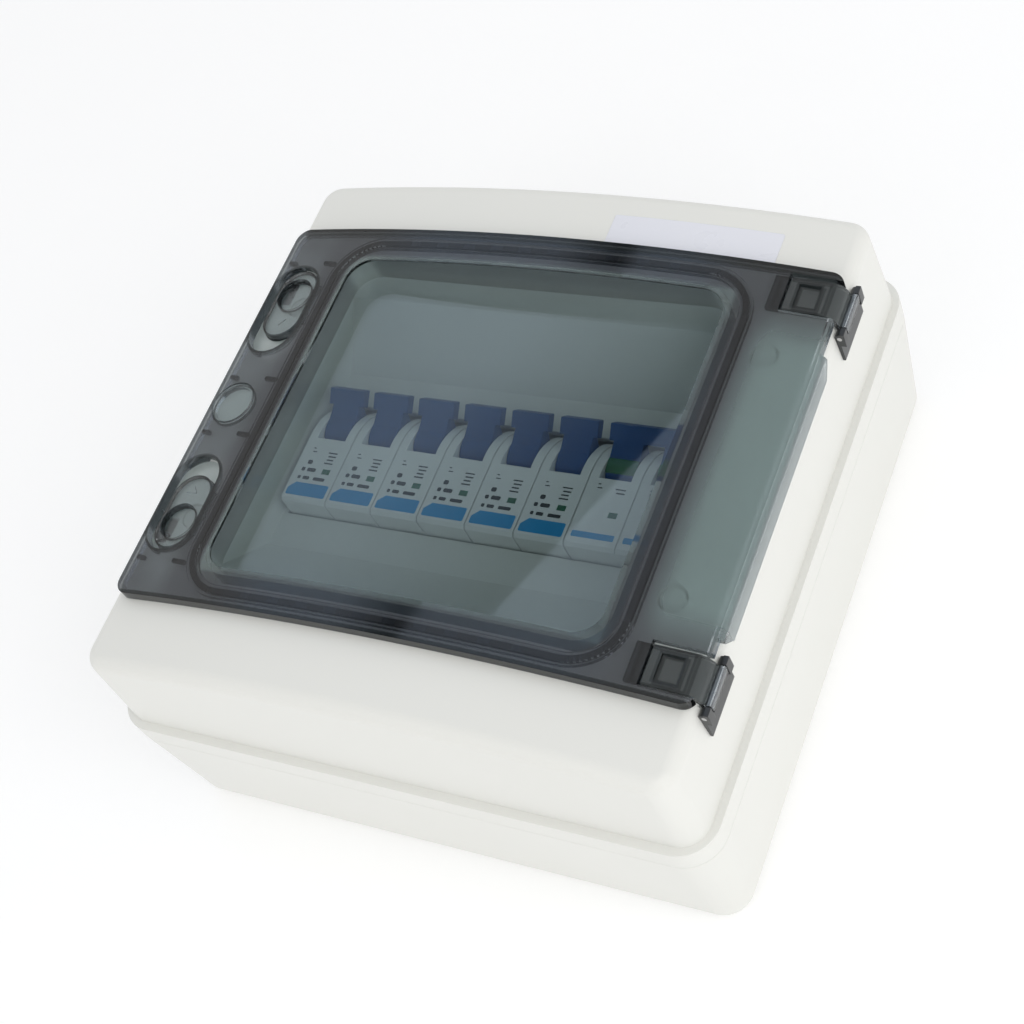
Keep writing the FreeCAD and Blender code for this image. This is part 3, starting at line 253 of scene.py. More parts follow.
class EffectLibrary:
    """Builds each shared effect once, as a node group with named sockets."""

    CELL_SHARE = 0.6
    SLOW_SHARE = 0.05
    UP_RANGE = (0.4, 0.95)
    SPECK_RANGE = (0.76, 0.80)
    FILM_SHARE = 0.08
    FILM_RANGE = (0.45, 0.8)
    FILM_MOST = 0.35
    STREAKS = ((14.0, 0.6, 1.0), (0.8, 17.0, 1.0))
    STREAK_RANGE = (0.775, 0.80)

    def __init__(self) -> None:
        """Start with no groups."""
        self.made: dict[Effect, bpy.types.NodeTree] = {}

    def get(self, effect: Effect) -> bpy.types.NodeTree:
        """Give the group of an effect.

        Args:
            effect: Which effect.

        Returns:
            The node group.
        """
        if effect not in self.made:
            tree = bpy.data.node_groups.new(effect.value, "ShaderNodeTree")
            builders = {Effect.GRAIN: self.grain, Effect.DRIFT: self.drift,
                        Effect.DUST: self.dust, Effect.HAIRLINES: self.hairlines}
            builders[effect](tree)
            self.made[effect] = tree
        return self.made[effect]

    @staticmethod
    def sockets(tree: bpy.types.NodeTree, inputs: dict[str, object], outputs: dict[str, str]) -> None:
        """Declare a group's sockets.

        Args:
            tree: The group.
            inputs: Input names with their default numbers or colours.
            outputs: Output names with their socket types.
        """
        for name, value in inputs.items():
            kind = "NodeSocketFloat" if isinstance(value, float) else "NodeSocketColor"
            socket = tree.interface.new_socket(name=name, in_out="INPUT", socket_type=kind)
            socket.default_value = value
        for name, kind in outputs.items():
            tree.interface.new_socket(name=name, in_out="OUTPUT", socket_type=kind)

    def grain(self, tree: bpy.types.NodeTree) -> None:
        """Build the fine leathery texture of a moulding: a height.

        Args:
            tree: The group, empty.
        """
        self.sockets(tree, {"Scale": 900.0, "Coarse": 0.35}, {"Height": "NodeSocketFloat"})
        graph = Graph(tree)
        given = graph.node("NodeGroupInput")
        out = graph.node("NodeGroupOutput")
        fine = graph.noise(given.outputs["Scale"], 2.0)
        cells = graph.node("ShaderNodeTexVoronoi")
        graph.join(graph.place(), cells.inputs["Vector"])
        graph.join(graph.math("MULTIPLY", given.outputs["Scale"], self.CELL_SHARE), cells.inputs["Scale"])
        slow = graph.noise(graph.math("MULTIPLY", given.outputs["Scale"], self.SLOW_SHARE), 3.0)
        sum_fine = graph.math("ADD", fine, cells.outputs["Distance"])
        height = graph.math("ADD", sum_fine, graph.math("MULTIPLY", slow, given.outputs["Coarse"]))
        graph.join(height, out.inputs["Height"])

    def drift(self, tree: bpy.types.NodeTree) -> None:
        """Build slow changes of tone over a surface: a colour.

        Args:
            tree: The group, empty.
        """
        self.sockets(tree, {"Color": (0.8, 0.8, 0.8, 1.0), "Amount": 0.04, "Scale": 9.0},
                     {"Color": "NodeSocketColor"})
        graph = Graph(tree)
        given = graph.node("NodeGroupInput")
        out = graph.node("NodeGroupOutput")
        cloud = graph.noise(given.outputs["Scale"], 4.0)
        centred = graph.math("SUBTRACT", cloud, 0.5)
        gain = graph.math("ADD", graph.math("MULTIPLY", centred, given.outputs["Amount"]), 1.0)
        scaled = graph.node("ShaderNodeVectorMath", operation="SCALE")
        graph.join(given.outputs["Color"], scaled.inputs[0])
        graph.join(gain, scaled.inputs["Scale"])
        graph.join(scaled.outputs[0], out.inputs["Color"])

    def dust(self, tree: bpy.types.NodeTree) -> None:
        """Build specks and a thin film of dust on faces that look up: a mask.

        Args:
            tree: The group, empty.
        """
        self.sockets(tree, {"Amount": 0.2, "Scale": 260.0}, {"Mask": "NodeSocketFloat"})
        graph = Graph(tree)
        given = graph.node("NodeGroupInput")
        out = graph.node("NodeGroupOutput")
        facing = graph.node("ShaderNodeNewGeometry")
        split = graph.node("ShaderNodeSeparateXYZ")
        graph.join(facing.outputs["Normal"], split.inputs[0])
        up = graph.ramp(split.outputs[2], *self.UP_RANGE)
        specks = graph.ramp(graph.noise(given.outputs["Scale"], 2.0), *self.SPECK_RANGE)
        cloud = graph.noise(graph.math("MULTIPLY", given.outputs["Scale"], self.FILM_SHARE), 4.0)
        film = graph.ramp(cloud, *self.FILM_RANGE, 0.0, self.FILM_MOST)
        both = graph.math("MAXIMUM", specks, film)
        graph.join(graph.math("MULTIPLY", graph.math("MULTIPLY", both, up), given.outputs["Amount"]),
                   out.inputs["Mask"])

    def hairlines(self, tree: bpy.types.NodeTree) -> None:
        """Build fine straight scratches in two directions: a mask.

        Args:
            tree: The group, empty.
        """
        self.sockets(tree, {"Scale": 60.0, "Amount": 0.5}, {"Mask": "NodeSocketFloat"})
        graph = Graph(tree)
        given = graph.node("NodeGroupInput")
        out = graph.node("NodeGroupOutput")
        lines = []
        for stretch in self.STREAKS:
            streak = graph.noise(given.outputs["Scale"], 2.0, stretch)
            lines.append(graph.ramp(streak, *self.STREAK_RANGE))
        mask = graph.math("MULTIPLY", graph.math("MAXIMUM", *lines), given.outputs["Amount"])
        graph.join(mask, out.inputs["Mask"])


EFFECTS = EffectLibrary()


# ---------------------------------------------------------------------------- finishes
@dataclass(frozen=True)
class Finish:
    """What every finish has: its name and the record's slot that it stands for."""

    name: str
    slot: str

    def start(self) -> tuple[bpy.types.Material, Graph, bpy.types.Node]:
        """Make an empty node material.

        Returns:
            The material, its graph and its Principled shader.
        """
        made = bpy.data.materials.new(self.name)
        made.use_nodes = True
        graph = Graph(made.node_tree)
        shader = graph.node("ShaderNodeBsdfPrincipled")
        out = graph.node("ShaderNodeOutputMaterial")
        graph.join(shader.outputs[0], out.inputs["Surface"])
        return made, graph, shader

    @staticmethod
    def effect(graph: Graph, effect: Effect, **values: object) -> bpy.types.Node:
        """Place a shared effect in a material.

        Args:
            graph: The material's graph.
            effect: Which effect.
            **values: Values of the group's inputs.

        Returns:
            The group's node.
        """
        made = graph.node("ShaderNodeGroup", node_tree=EFFECTS.get(effect))
        for name, value in values.items():
            graph.feed(value, made.inputs[name])
        return made

    @staticmethod
    def bump(graph: Graph, height: Socket, depth: float, shader: bpy.types.Node) -> None:
        """Give a shader a bumpy normal.

        Args:
            graph: The material's graph.
            height: The height that drives it.
            depth: Real depth of the bumps in metres.
            shader: The shader that takes the normal.
        """
        made = graph.node("ShaderNodeBump")
        made.inputs["Strength"].default_value = 1.0
        made.inputs["Distance"].default_value = depth
        graph.join(height, made.inputs["Height"])
        graph.join(made.outputs[0], shader.inputs["Normal"])

    def build(self) -> bpy.types.Material:
        """Make the material."""
        raise NotImplementedError


@dataclass(frozen=True)
class Moulded(Finish):
    """Opaque moulded plastic."""

    colour: Colour = (0.6, 0.6, 0.6)
    roughness: float = 0.45
    grain: float = 900.0
    depth: float = 0.000004
    drift: float = 0.05
    dust: float = 0.1
    coat: float = 0.0
    cloud: float = 35.0
    uneven: float = 0.12
    dusty: float = 0.3

    def build(self) -> bpy.types.Material:
        """Make the material.

        Returns:
            The material.
        """
        made, graph, shader = self.start()
        tone = self.effect(graph, Effect.DRIFT, Color=rgba(self.colour), Amount=self.drift)
        dust = self.effect(graph, Effect.DUST, Amount=self.dust)
        pale = rgba(tuple(min(1.0, value * 0.5 + 0.35) for value in self.colour))
        graph.join(graph.blend(dust.outputs[0], tone.outputs[0], pale), shader.inputs["Base Color"])
        cloud = graph.noise(self.cloud, 4.0)
        rough = graph.ramp(cloud, 0.3, 0.7, self.roughness * (1 - self.uneven),
                           min(1.0, self.roughness * (1 + self.uneven)))
        graph.join(graph.math("ADD", rough, graph.math("MULTIPLY", dust.outputs[0], self.dusty)),
                   shader.inputs["Roughness"])
        shader.inputs["IOR"].default_value = PLASTIC_IOR
        shader.inputs["Coat Weight"].default_value = self.coat
        shader.inputs["Coat Roughness"].default_value = COAT_ROUGHNESS
        height = self.effect(graph, Effect.GRAIN, Scale=self.grain)
        self.bump(graph, height.outputs[0], self.depth, shader)
        return made


@dataclass(frozen=True)
class Metal(Finish):
    """Plated or bare metal with fine brushing and stains."""

    colour: Colour = (0.6, 0.6, 0.62)
    stain: Colour = (0.4, 0.38, 0.34)
    roughness: float = 0.32
    brush: Point = (1.0, 30.0, 30.0)
    depth: float = 0.000015

    def build(self) -> bpy.types.Material:
        """Make the material.

        Returns:
            The material.
        """
        made, graph, shader = self.start()
        tone = self.effect(graph, Effect.DRIFT, Color=rgba(self.colour), Amount=0.18, Scale=60.0)
        patch = graph.ramp(graph.noise(140.0, 5.0), 0.52, 0.75, 0.0, 0.45)
        graph.join(graph.blend(patch, tone.outputs[0], rgba(self.stain)), shader.inputs["Base Color"])
        shader.inputs["Metallic"].default_value = 1.0
        streak = graph.noise(260.0, 3.0, self.brush)
        graph.join(graph.ramp(streak, 0.25, 0.75, self.roughness * 0.75, self.roughness * 1.3),
                   shader.inputs["Roughness"])
        self.bump(graph, streak, self.depth, shader)
        return made


@dataclass(frozen=True)
class Film(Finish):
    """Satin printed film or ink: a smooth thin layer."""

    colour: Colour = (0.7, 0.7, 0.8)
    roughness: float = 0.3
    drift: float = 0.05
    depth: float = 0.000006

    def build(self) -> bpy.types.Material:
        """Make the material.

        Returns:
            The material.
        """
        made, graph, shader = self.start()
        tone = self.effect(graph, Effect.DRIFT, Color=rgba(self.colour), Amount=self.drift, Scale=30.0)
        dust = self.effect(graph, Effect.DUST, Amount=0.03, Scale=420.0)
        graph.join(graph.blend(dust.outputs[0], tone.outputs[0], (0.8, 0.8, 0.8, 1.0)),
                   shader.inputs["Base Color"])
        wave = graph.noise(90.0, 3.0)
        graph.join(graph.ramp(wave, 0.3, 0.7, self.roughness * 0.85, self.roughness * 1.2),
                   shader.inputs["Roughness"])
        self.bump(graph, wave, self.depth, shader)
        return made


@dataclass(frozen=True)
class Ring:
    """A dark line along a slot-shaped outline that lies along Y, on both latches, in millimetres."""

    x: float
    y: float
    radius: float
    straight: float
    width: float

    def mask(self, graph: Graph, x: Socket, along: Socket) -> Socket:
        """Work out where the line is.

        Args:
            graph: The material's graph.
            x: The place across the box.
            along: The distance from the middle of the box along Y.

        Returns:
            The mask.
        """
        dx = graph.math("SUBTRACT", x, self.x * MM)
        dy = graph.math("ABSOLUTE", graph.math("SUBTRACT", along, self.y * MM))
        dy = graph.math("MAXIMUM", graph.math("SUBTRACT", dy, self.straight * MM), 0.0)
        away = graph.length(dx, dy)
        gap = graph.math("ABSOLUTE", graph.math("SUBTRACT", away, self.radius * MM))
        return graph.ramp(gap, self.width * 0.5 * MM, self.width * 0.8 * MM, 1.0, 0.0)


@dataclass(frozen=True)
class Border:
    """A dark line along a rectangle with its sides along X and Y, at both ends, in millimetres."""

    x: float
    y: float
    half_x: float
    half_y: float
    width: float

    def mask(self, graph: Graph, x: Socket, along: Socket) -> Socket:
        """Work out where the line is.

        Args:
            graph: The material's graph.
            x: The place across the box.
            along: The distance from the middle of the box along Y.

        Returns:
            The mask.
        """
        dx = graph.math("ABSOLUTE", graph.math("SUBTRACT", x, self.x * MM))
        dy = graph.math("ABSOLUTE", graph.math("SUBTRACT", along, self.y * MM))
        away = graph.math("MAXIMUM", graph.math("SUBTRACT", dx, self.half_x * MM),
                          graph.math("SUBTRACT", dy, self.half_y * MM))
        gap = graph.math("ABSOLUTE", away)
        return graph.ramp(gap, self.width * 0.35 * MM, self.width * 0.65 * MM, 1.0, 0.0)


@dataclass(frozen=True)
class Smoked(Finish):
    """Smoked clear plastic: clearest in the window, darker in the frame, darkest along its cut edge."""

    clear: Colour = (0.47, 0.53, 0.545)
    framed: Colour = (0.25, 0.26, 0.285)
    strip: Colour = (0.42, 0.50, 0.505)
    latch_side: Colour = (0.36, 0.385, 0.41)
    edge: Colour = (0.012, 0.016, 0.016)
    apron: Colour = (0.60, 0.63, 0.65)
    lamp: Colour = (0.66, 0.70, 0.70)
    window: tuple[float, float] = (71.5, 64.0)
    strip_x: tuple[float, float] = (-79.5, -87.5)
    strip_y: tuple[float, float] = (46.0, 62.0)
    latch_x: tuple[float, float] = (79.0, 86.0)
    lock: tuple[float, float] = (92.0, 8.2)
    lock_tint: Colour = (0.56, 0.62, 0.64)
    edge_y: float = 75.0
    apron_x: float = -104.9
    rim: Colour = (0.05, 0.06, 0.065)
    window_fade: float = 1.2
    fade: float = 0.4
    haze_strip: float = 0.28
    haze_latch: float = 0.12
    haze_frame: float = 0.06
    haze_least: float = 0.012
    wave_depth: float = 0.000003
    rings: tuple[Ring, ...] = ()
    borders: tuple[Border, ...] = ()

    def build(self) -> bpy.types.Material:
        """Make the material.

        Returns:
            The material.
        """
        made, graph, shader = self.start()
        split = graph.node("ShaderNodeSeparateXYZ")
        graph.join(graph.place(), split.inputs[0])
        soft, tint = self.tints(graph, split)
        tone = self.effect(graph, Effect.DRIFT, Color=tint, Amount=0.10, Scale=14.0)
        graph.join(tone.outputs[0], shader.inputs["Base Color"])
        scratch = self.effect(graph, Effect.HAIRLINES, Amount=0.12)
        dust = self.effect(graph, Effect.DUST, Amount=0.08)
        haze = graph.math("ADD", soft, graph.math("ADD", scratch.outputs[0], dust.outputs[0]))
        graph.join(haze, shader.inputs["Roughness"])
        shader.inputs["IOR"].default_value = SMOKED_IOR
        shader.inputs["Transmission Weight"].default_value = 1.0
        wave = graph.noise(26.0, 1.0)
        self.bump(graph, wave, self.wave_depth, shader)
        self.let_lamps_through(graph, shader)
        return made

    def tints(self, graph: Graph, split: bpy.types.Node) -> tuple[Socket, Socket]:
        """Work out how dark each place is.

        Args:
            graph: The material's graph.
            split: The node that gives the place as three numbers.

        Returns:
            How rough it is, and the tint.
        """
        x, y = split.outputs[0], split.outputs[1]
        across = graph.math("ABSOLUTE", x)
        along = graph.math("ABSOLUTE", y)
        wide, tall = (half * MM for half in self.window)
        outside_x = graph.ramp(across, wide, wide + self.window_fade * MM)
        outside_y = graph.ramp(along, tall, tall + self.window_fade * MM)
        frame_mask = graph.math("MAXIMUM", outside_x, outside_y)
        strip = graph.ramp(x, self.strip_x[1] * MM, self.strip_x[0] * MM, 1.0, 0.0)
        middle = graph.ramp(along, self.strip_y[0] * MM, self.strip_y[1] * MM, 1.0, 0.0)
        strip = graph.math("MULTIPLY", strip, middle)
        latch = graph.ramp(x, self.latch_x[0] * MM, self.latch_x[1] * MM)
        cloud = graph.ramp(graph.noise(38.0, 1.0), 0.35, 0.65, 0.35, 1.0)
        latch = graph.math("MULTIPLY", latch, cloud)
        dx = graph.math("SUBTRACT", x, self.lock[0] * MM)
        away = graph.length(dx, y)
        lock = graph.ramp(away, (self.lock[1] - self.fade) * MM, self.lock[1] * MM, 1.0, 0.0)
        edge = graph.ramp(along, self.edge_y * MM, (self.edge_y + self.fade) * MM)
        apron = graph.ramp(x, (self.apron_x - 0.5) * MM, self.apron_x * MM, 1.0, 0.0)
        tint = graph.blend(frame_mask, rgba(self.clear), rgba(self.framed))
        tint = graph.blend(strip, tint, rgba(self.strip))
        tint = graph.blend(latch, tint, rgba(self.latch_side))
        tint = graph.blend(lock, tint, rgba(self.lock_tint))
        tint = graph.blend(edge, tint, rgba(self.edge))
        tint = graph.blend(apron, tint, rgba(self.apron))
        for ring in self.rings + self.borders:
            tint = graph.blend(ring.mask(graph, x, along), tint, rgba(self.rim))
        soft = graph.math("ADD", graph.math("MULTIPLY", strip, self.haze_strip),
                          graph.math("MULTIPLY", latch, self.haze_latch))
        soft = graph.math("ADD", soft, graph.math("MULTIPLY", frame_mask, self.haze_frame))
        return graph.math("ADD", soft, self.haze_least), tint

    def let_lamps_through(self, graph: Graph, shader: bpy.types.Node) -> None:
        """Let light from lamps reach what is behind the plastic.

        Args:
            graph: The material's graph.
            shader: The glass shader.
        """
        out = next(node for node in graph.tree.nodes if node.type == "OUTPUT_MATERIAL")
        path = graph.node("ShaderNodeLightPath")
        pale = graph.node("ShaderNodeBsdfTransparent")
        pale.inputs["Color"].default_value = rgba(self.lamp)
        mix = graph.node("ShaderNodeMixShader")
        graph.join(path.outputs["Is Shadow Ray"], mix.inputs[0])
        graph.join(shader.outputs[0], mix.inputs[1])
        graph.join(pale.outputs[0], mix.inputs[2])
        graph.join(mix.outputs[0], out.inputs["Surface"])


@dataclass(frozen=True)
class Palette:
    """Every finish of the box."""

    housing: Finish = Moulded("housing_white", "housing_plastic", linear(229, 229, 224), 0.42, 1100.0,
                              0.000003, 0.03, 0.05)
    seal: Finish = Moulded("seal_black", "seal_rubber", (0.012, 0.012, 0.013), 0.6, 1600.0,
                           0.00003, 0.2, 0.15)
    zinc: Finish = Metal("zinc_plating", "zinc_steel")
    label: Finish = Film("label_lavender", "label_film", linear(227, 228, 235))
    brass: Finish = Metal("bar_brass", "brass", (0.75, 0.56, 0.26), (0.45, 0.33, 0.14))
    copper: Finish = Metal("comb_copper", "copper", (0.85, 0.47, 0.32), (0.5, 0.26, 0.16))
    blue_holder: Finish = Moulded("holder_blue", "blue_insulator", (0.04, 0.15, 0.5), 0.45)
    green_holder: Finish = Moulded("holder_green", "green_insulator", (0.05, 0.32, 0.10), 0.45)
    breaker: Finish = Moulded("breaker_grey", "breaker_plastic", linear(236, 237, 235), 0.38, 1500.0,
                              0.000002, 0.03, 0.08)
    indicator: Finish = Moulded("indicator_green", "indicator_green", (0.01, 0.12, 0.05), 0.25, coat=0.6)
    clip: Finish = Moulded("clip_black", "dark_clip_plastic", (0.022, 0.024, 0.026), 0.3, 1300.0,
                           0.00001, 0.2)
    handle: Finish = Moulded("handle_blue", "handle_blue", linear(27, 76, 134), 0.36, 700.0, 0.0000002,
                             0.1, 0.03)
    stripe: Finish = Film("stripe_blue", "handle_blue", linear(18, 152, 214), 0.35)
    ink: Finish = Film("print_ink", "dark_clip_plastic", (0.02, 0.022, 0.025), 0.4)
    smoked: Finish = Smoked("smoked_door", "smoked_plastic", rings=(Ring(91.2, 40.5, 9.9, 9.0, 0.8),
                                                                    Ring(92.0, 0.0, 8.2, 0.0, 0.5)))
    smoked_arm: Finish = Smoked("smoked_arm", "smoked_plastic", apron=(0.46, 0.49, 0.51),
                                strip=(0.20, 0.215, 0.225), framed=(0.24, 0.255, 0.265), edge_y=90.0,
                                borders=(Border(-94.0, 66.5, 3.6, 4.4, 1.5),
                                         Border(-92.2, 66.5, 8.2, 6.2, 0.9)))
    smoked_latch: Finish = Smoked("smoked_latch", "smoked_plastic", framed=(0.80, 0.84, 0.85),
                                  latch_side=(0.80, 0.84, 0.85),
                                  rings=(Ring(90.1, 43.6, 7.8, 6.4, 0.7), Ring(90.1, 47.5, 6.6, 0.0, 0.5)))
    smoked_rib: Finish = Smoked("smoked_rib", "smoked_plastic", framed=(0.03, 0.035, 0.04),
                                latch_side=(0.03, 0.035, 0.04))


class Wardrobe:
    """Builds each finish once and dresses pieces with it."""

    def __init__(self) -> None:
        """Start with no materials."""
        self.made: dict[str, bpy.types.Material] = {}

    def material(self, finish: Finish) -> bpy.types.Material:
        """Give the material of a finish.

        Args:
            finish: The finish.

        Returns:
            Its material, the same each time.
        """
        if finish.name not in self.made:
            self.made[finish.name] = finish.build()
        return self.made[finish.name]

    def dress_node(self, node: str, finish: Finish) -> None:
        """Give a carried-over node a finish.

        Args:
            node: Name of the node.
            finish: Its finish.
        """
        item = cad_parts[node]
        if not item.data.materials:
            item.data.materials.append(None)
        for slot in item.material_slots:
            slot.link = "OBJECT"
            slot.material = self.material(finish)
        log.info("node %s wears %s", node, finish.name)


WARDROBE = Wardrobe()
PALETTE = Palette()


# ---------------------------------------------------------------------------- meshes
def place_piece(name: str, shape: bmesh.types.BMesh, body: str, finish: Finish,
                replaces: tuple[str, ...] = ()) -> bpy.types.Object:
    """Turn a finished bmesh into a piece that rides on a body.

    Args:
        name: Name of the piece.
        shape: Its mesh, in metres and in place; it is freed.
        body: The body that it rides on.
        finish: What it wears.
        replaces: Nodes that it stands for.

    Returns:
        The piece.
    """
    mesh = bpy.data.meshes.new(name)
    shape.to_mesh(mesh)
    shape.free()
    item = bpy.data.objects.new(name, mesh)
    bpy.context.scene.collection.objects.link(item)
    mesh.materials.append(WARDROBE.material(finish))
    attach(item, body)
    if replaces:
        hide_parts(*replaces)
    log.info("piece %s on %s: %d faces", name, body, len(mesh.polygons))
    return item


def soften(shape: bmesh.types.BMesh, radius: float, segments: int, crease: float = 32.0,
           clamp: bool = False) -> None:
    """Round the sharp outer edges of a closed shape and shade it.

    Args:
        shape: The shape, changed in place.
        radius: Width of the rounding in millimetres.
        segments: Steps of the rounding.
        crease: Edges that turn by more than this many degrees are sharp.
        clamp: Hold the rounding back where there is little room.
    """
    sharp = [edge for edge in shape.edges
             if edge.is_manifold and edge.is_convex and edge.calc_face_angle(0.0) > math.radians(crease)
             and edge.calc_length() > SHORTEST_EDGE * radius * MM]
    if sharp and radius > 0:
        bmesh.ops.bevel(shape, geom=sharp, offset=radius * MM, offset_type="OFFSET", segments=segments,
                        profile=0.5, affect="EDGES", clamp_overlap=clamp, material=-1)
    shade(shape)


def shade(shape: bmesh.types.BMesh, crease: float = 38.0) -> None:
    """Shade a shape smooth, apart from its sharp edges.

    Args:
        shape: The shape, changed in place.
        crease: Edges that turn by more than this many degrees stay sharp.
    """
    for face in shape.faces:
        face.smooth = True
    for edge in shape.edges:
        edge.smooth = edge.is_manifold and edge.calc_face_angle(0.0) < math.radians(crease)


def copy_of_node(node: str) -> bmesh.types.BMesh:
    """Copy a node's mesh, merged and with its flat faces whole.

    Args:
        node: Name of the node.

    Returns:
        The copy.
    """
    shape = bmesh.new()
    shape.from_mesh(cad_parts[node].data)
    bmesh.ops.remove_doubles(shape, verts=shape.verts, dist=MERGE * MM)
    bmesh.ops.dissolve_degenerate(shape, edges=shape.edges, dist=SLIVER * MM)
    bmesh.ops.dissolve_limit(shape, angle_limit=math.radians(FLAT_TURN), use_dissolve_boundaries=False,
                             verts=shape.verts, edges=shape.edges, delimit=set())
    return shape


def moulded_copy(node: str, body: str, finish: Finish, edge: Edge, segments: int = 2,
                 clamp: bool = False) -> bpy.types.Object:
    """Make a piece from a node, with rounded edges.

    Args:
        node: The node that it replaces.
        body: The body that it rides on.
        finish: What it wears.
        edge: How round its edges are.
        segments: Steps of the rounding.
        clamp: Hold the rounding back where there is little room.

    Returns:
        The piece.
    """
    shape = copy_of_node(node)
    soften(shape, edge.value, segments, clamp=clamp)
    item = place_piece(f"{node}_moulded", shape, body, finish, (node,))
    weighted = item.modifiers.new("flat_faces", "WEIGHTED_NORMAL")
    weighted.keep_sharp = True
    weighted.weight = FLAT_WEIGHT
    return item


@dataclass(frozen=True)
class Plate:
    """A thin flat patch with cut or rounded corners, in millimetres."""

    x: float
    y: float
    z: float
    width: float
    height: float
    thick: float = 0.06
    corner: float = 0.2
    chamfer: float = 0.0

    def add(self, shape: bmesh.types.BMesh) -> None:
        """Add the patch to a shape.

        Args:
            shape: The shape that takes it.
        """
        sheet = bmesh.new()
        bmesh.ops.create_grid(sheet, x_segments=1, y_segments=1, size=0.5)
        bmesh.ops.scale(sheet, vec=(self.width, self.height, 1.0), verts=sheet.verts)
        corners = list(sheet.verts)
        if self.chamfer:
            cut = [vert for vert in corners if vert.co.x > 0 > vert.co.y]
            bmesh.ops.bevel(sheet, geom=cut, offset=self.chamfer, offset_type="OFFSET", segments=1,
                            profile=0.5, affect="VERTICES", material=-1)
            corners = [vert for vert in corners if vert.is_valid]
        if self.corner:
            bmesh.ops.bevel(sheet, geom=[vert for vert in corners if vert.is_valid], offset=self.corner,
                            offset_type="OFFSET", segments=2, profile=0.5, affect="VERTICES", material=-1)
        lifted = bmesh.ops.extrude_face_region(sheet, geom=list(sheet.faces))
        raised = [item for item in lifted["geom"] if isinstance(item, bmesh.types.BMVert)]
        bmesh.ops.translate(sheet, vec=(0, 0, self.thick), verts=raised)
        bmesh.ops.recalc_face_normals(sheet, faces=sheet.faces)
        bmesh.ops.translate(sheet, vec=(self.x, self.y, self.z), verts=sheet.verts)
        bmesh.ops.scale(sheet, vec=(MM, MM, MM), verts=sheet.verts)
        spare = bpy.data.meshes.new("patch")
        sheet.to_mesh(spare)
        sheet.free()
        shape.from_mesh(spare)
        bpy.data.meshes.remove(spare)


# ---------------------------------------------------------------------------- housing
@dataclass
class Housing:
    """Base, cover, seal, screws and label of the enclosure."""

    shells: tuple[str, ...] = ("rear_base", "front_cover")
    cap_x: float = 86.5
    cap_y: float = 43.75
    cap_r: float = 4.15
    cap_top: float = 93.5
    cap_high: float = 2.2
    cap_rim: float = 1.0
    cap_dish: float = 0.4
    cap_steps: int = 40

    def build(self) -> None:
        """Make the shells and dress what stays."""
        for node in self.shells:
            moulded_copy(node, Body.ENCLOSURE.value, PALETTE.housing, Edge.SOFT)
        place_piece("screw_caps", self.caps(), Body.ENCLOSURE.value, PALETTE.housing)
        moulded_copy("rating_label", Body.ENCLOSURE.value, PALETTE.label, Edge.FINE, 1)
        WARDROBE.dress_node("cover_gasket", PALETTE.seal)
        for node in ("cover_screws", "din_rail", "rail_screws", "bar_screws"):
            WARDROBE.dress_node(node, PALETTE.zinc)

    def caps(self) -> bmesh.types.BMesh:
        """Make the dished caps that close the wells of the cover's screws.

        Returns:
            All the caps as one shape.
        """
        shape = bmesh.new()
        for x in (-self.cap_x, self.cap_x):
            for y in (-self.cap_y, self.cap_y):
                middle = Matrix.Translation((x, y, self.cap_top - self.cap_high / 2))
                bmesh.ops.create_cone(shape, cap_ends=True, segments=self.cap_steps, radius1=self.cap_r,
                                      radius2=self.cap_r, depth=self.cap_high, matrix=middle)
        tops = [face for face in shape.faces if face.normal.z > 0.9]
        bmesh.ops.inset_individual(shape, faces=tops, thickness=self.cap_rim)
        bmesh.ops.translate(shape, vec=(0, 0, -self.cap_dish), verts=list({v for f in tops for v in f.verts}))
        bmesh.ops.scale(shape, vec=(MM, MM, MM), verts=shape.verts)
        soften(shape, Edge.CRISP.value, 2)
        return shape


@dataclass
class Wiring:
    """Bars, holders and comb behind the breaker row."""

    wear: dict[str, Finish] = field(default_factory=lambda: {
        "neutral_bar": PALETTE.brass, "neutral_bar_holder": PALETTE.blue_holder,
        "earth_bar": PALETTE.brass, "earth_bar_holder": PALETTE.green_holder,
        "comb_busbar": PALETTE.copper, "busbar_cover": PALETTE.breaker,
        "rail_clips": PALETTE.clip, "breaker_clamps": PALETTE.zinc,
        "terminal_screws": PALETTE.zinc, "handle_pins": PALETTE.zinc})

    def build(self) -> None:
        """Dress every node behind the breakers."""
        for node, finish in self.wear.items():
            WARDROBE.dress_node(node, finish)


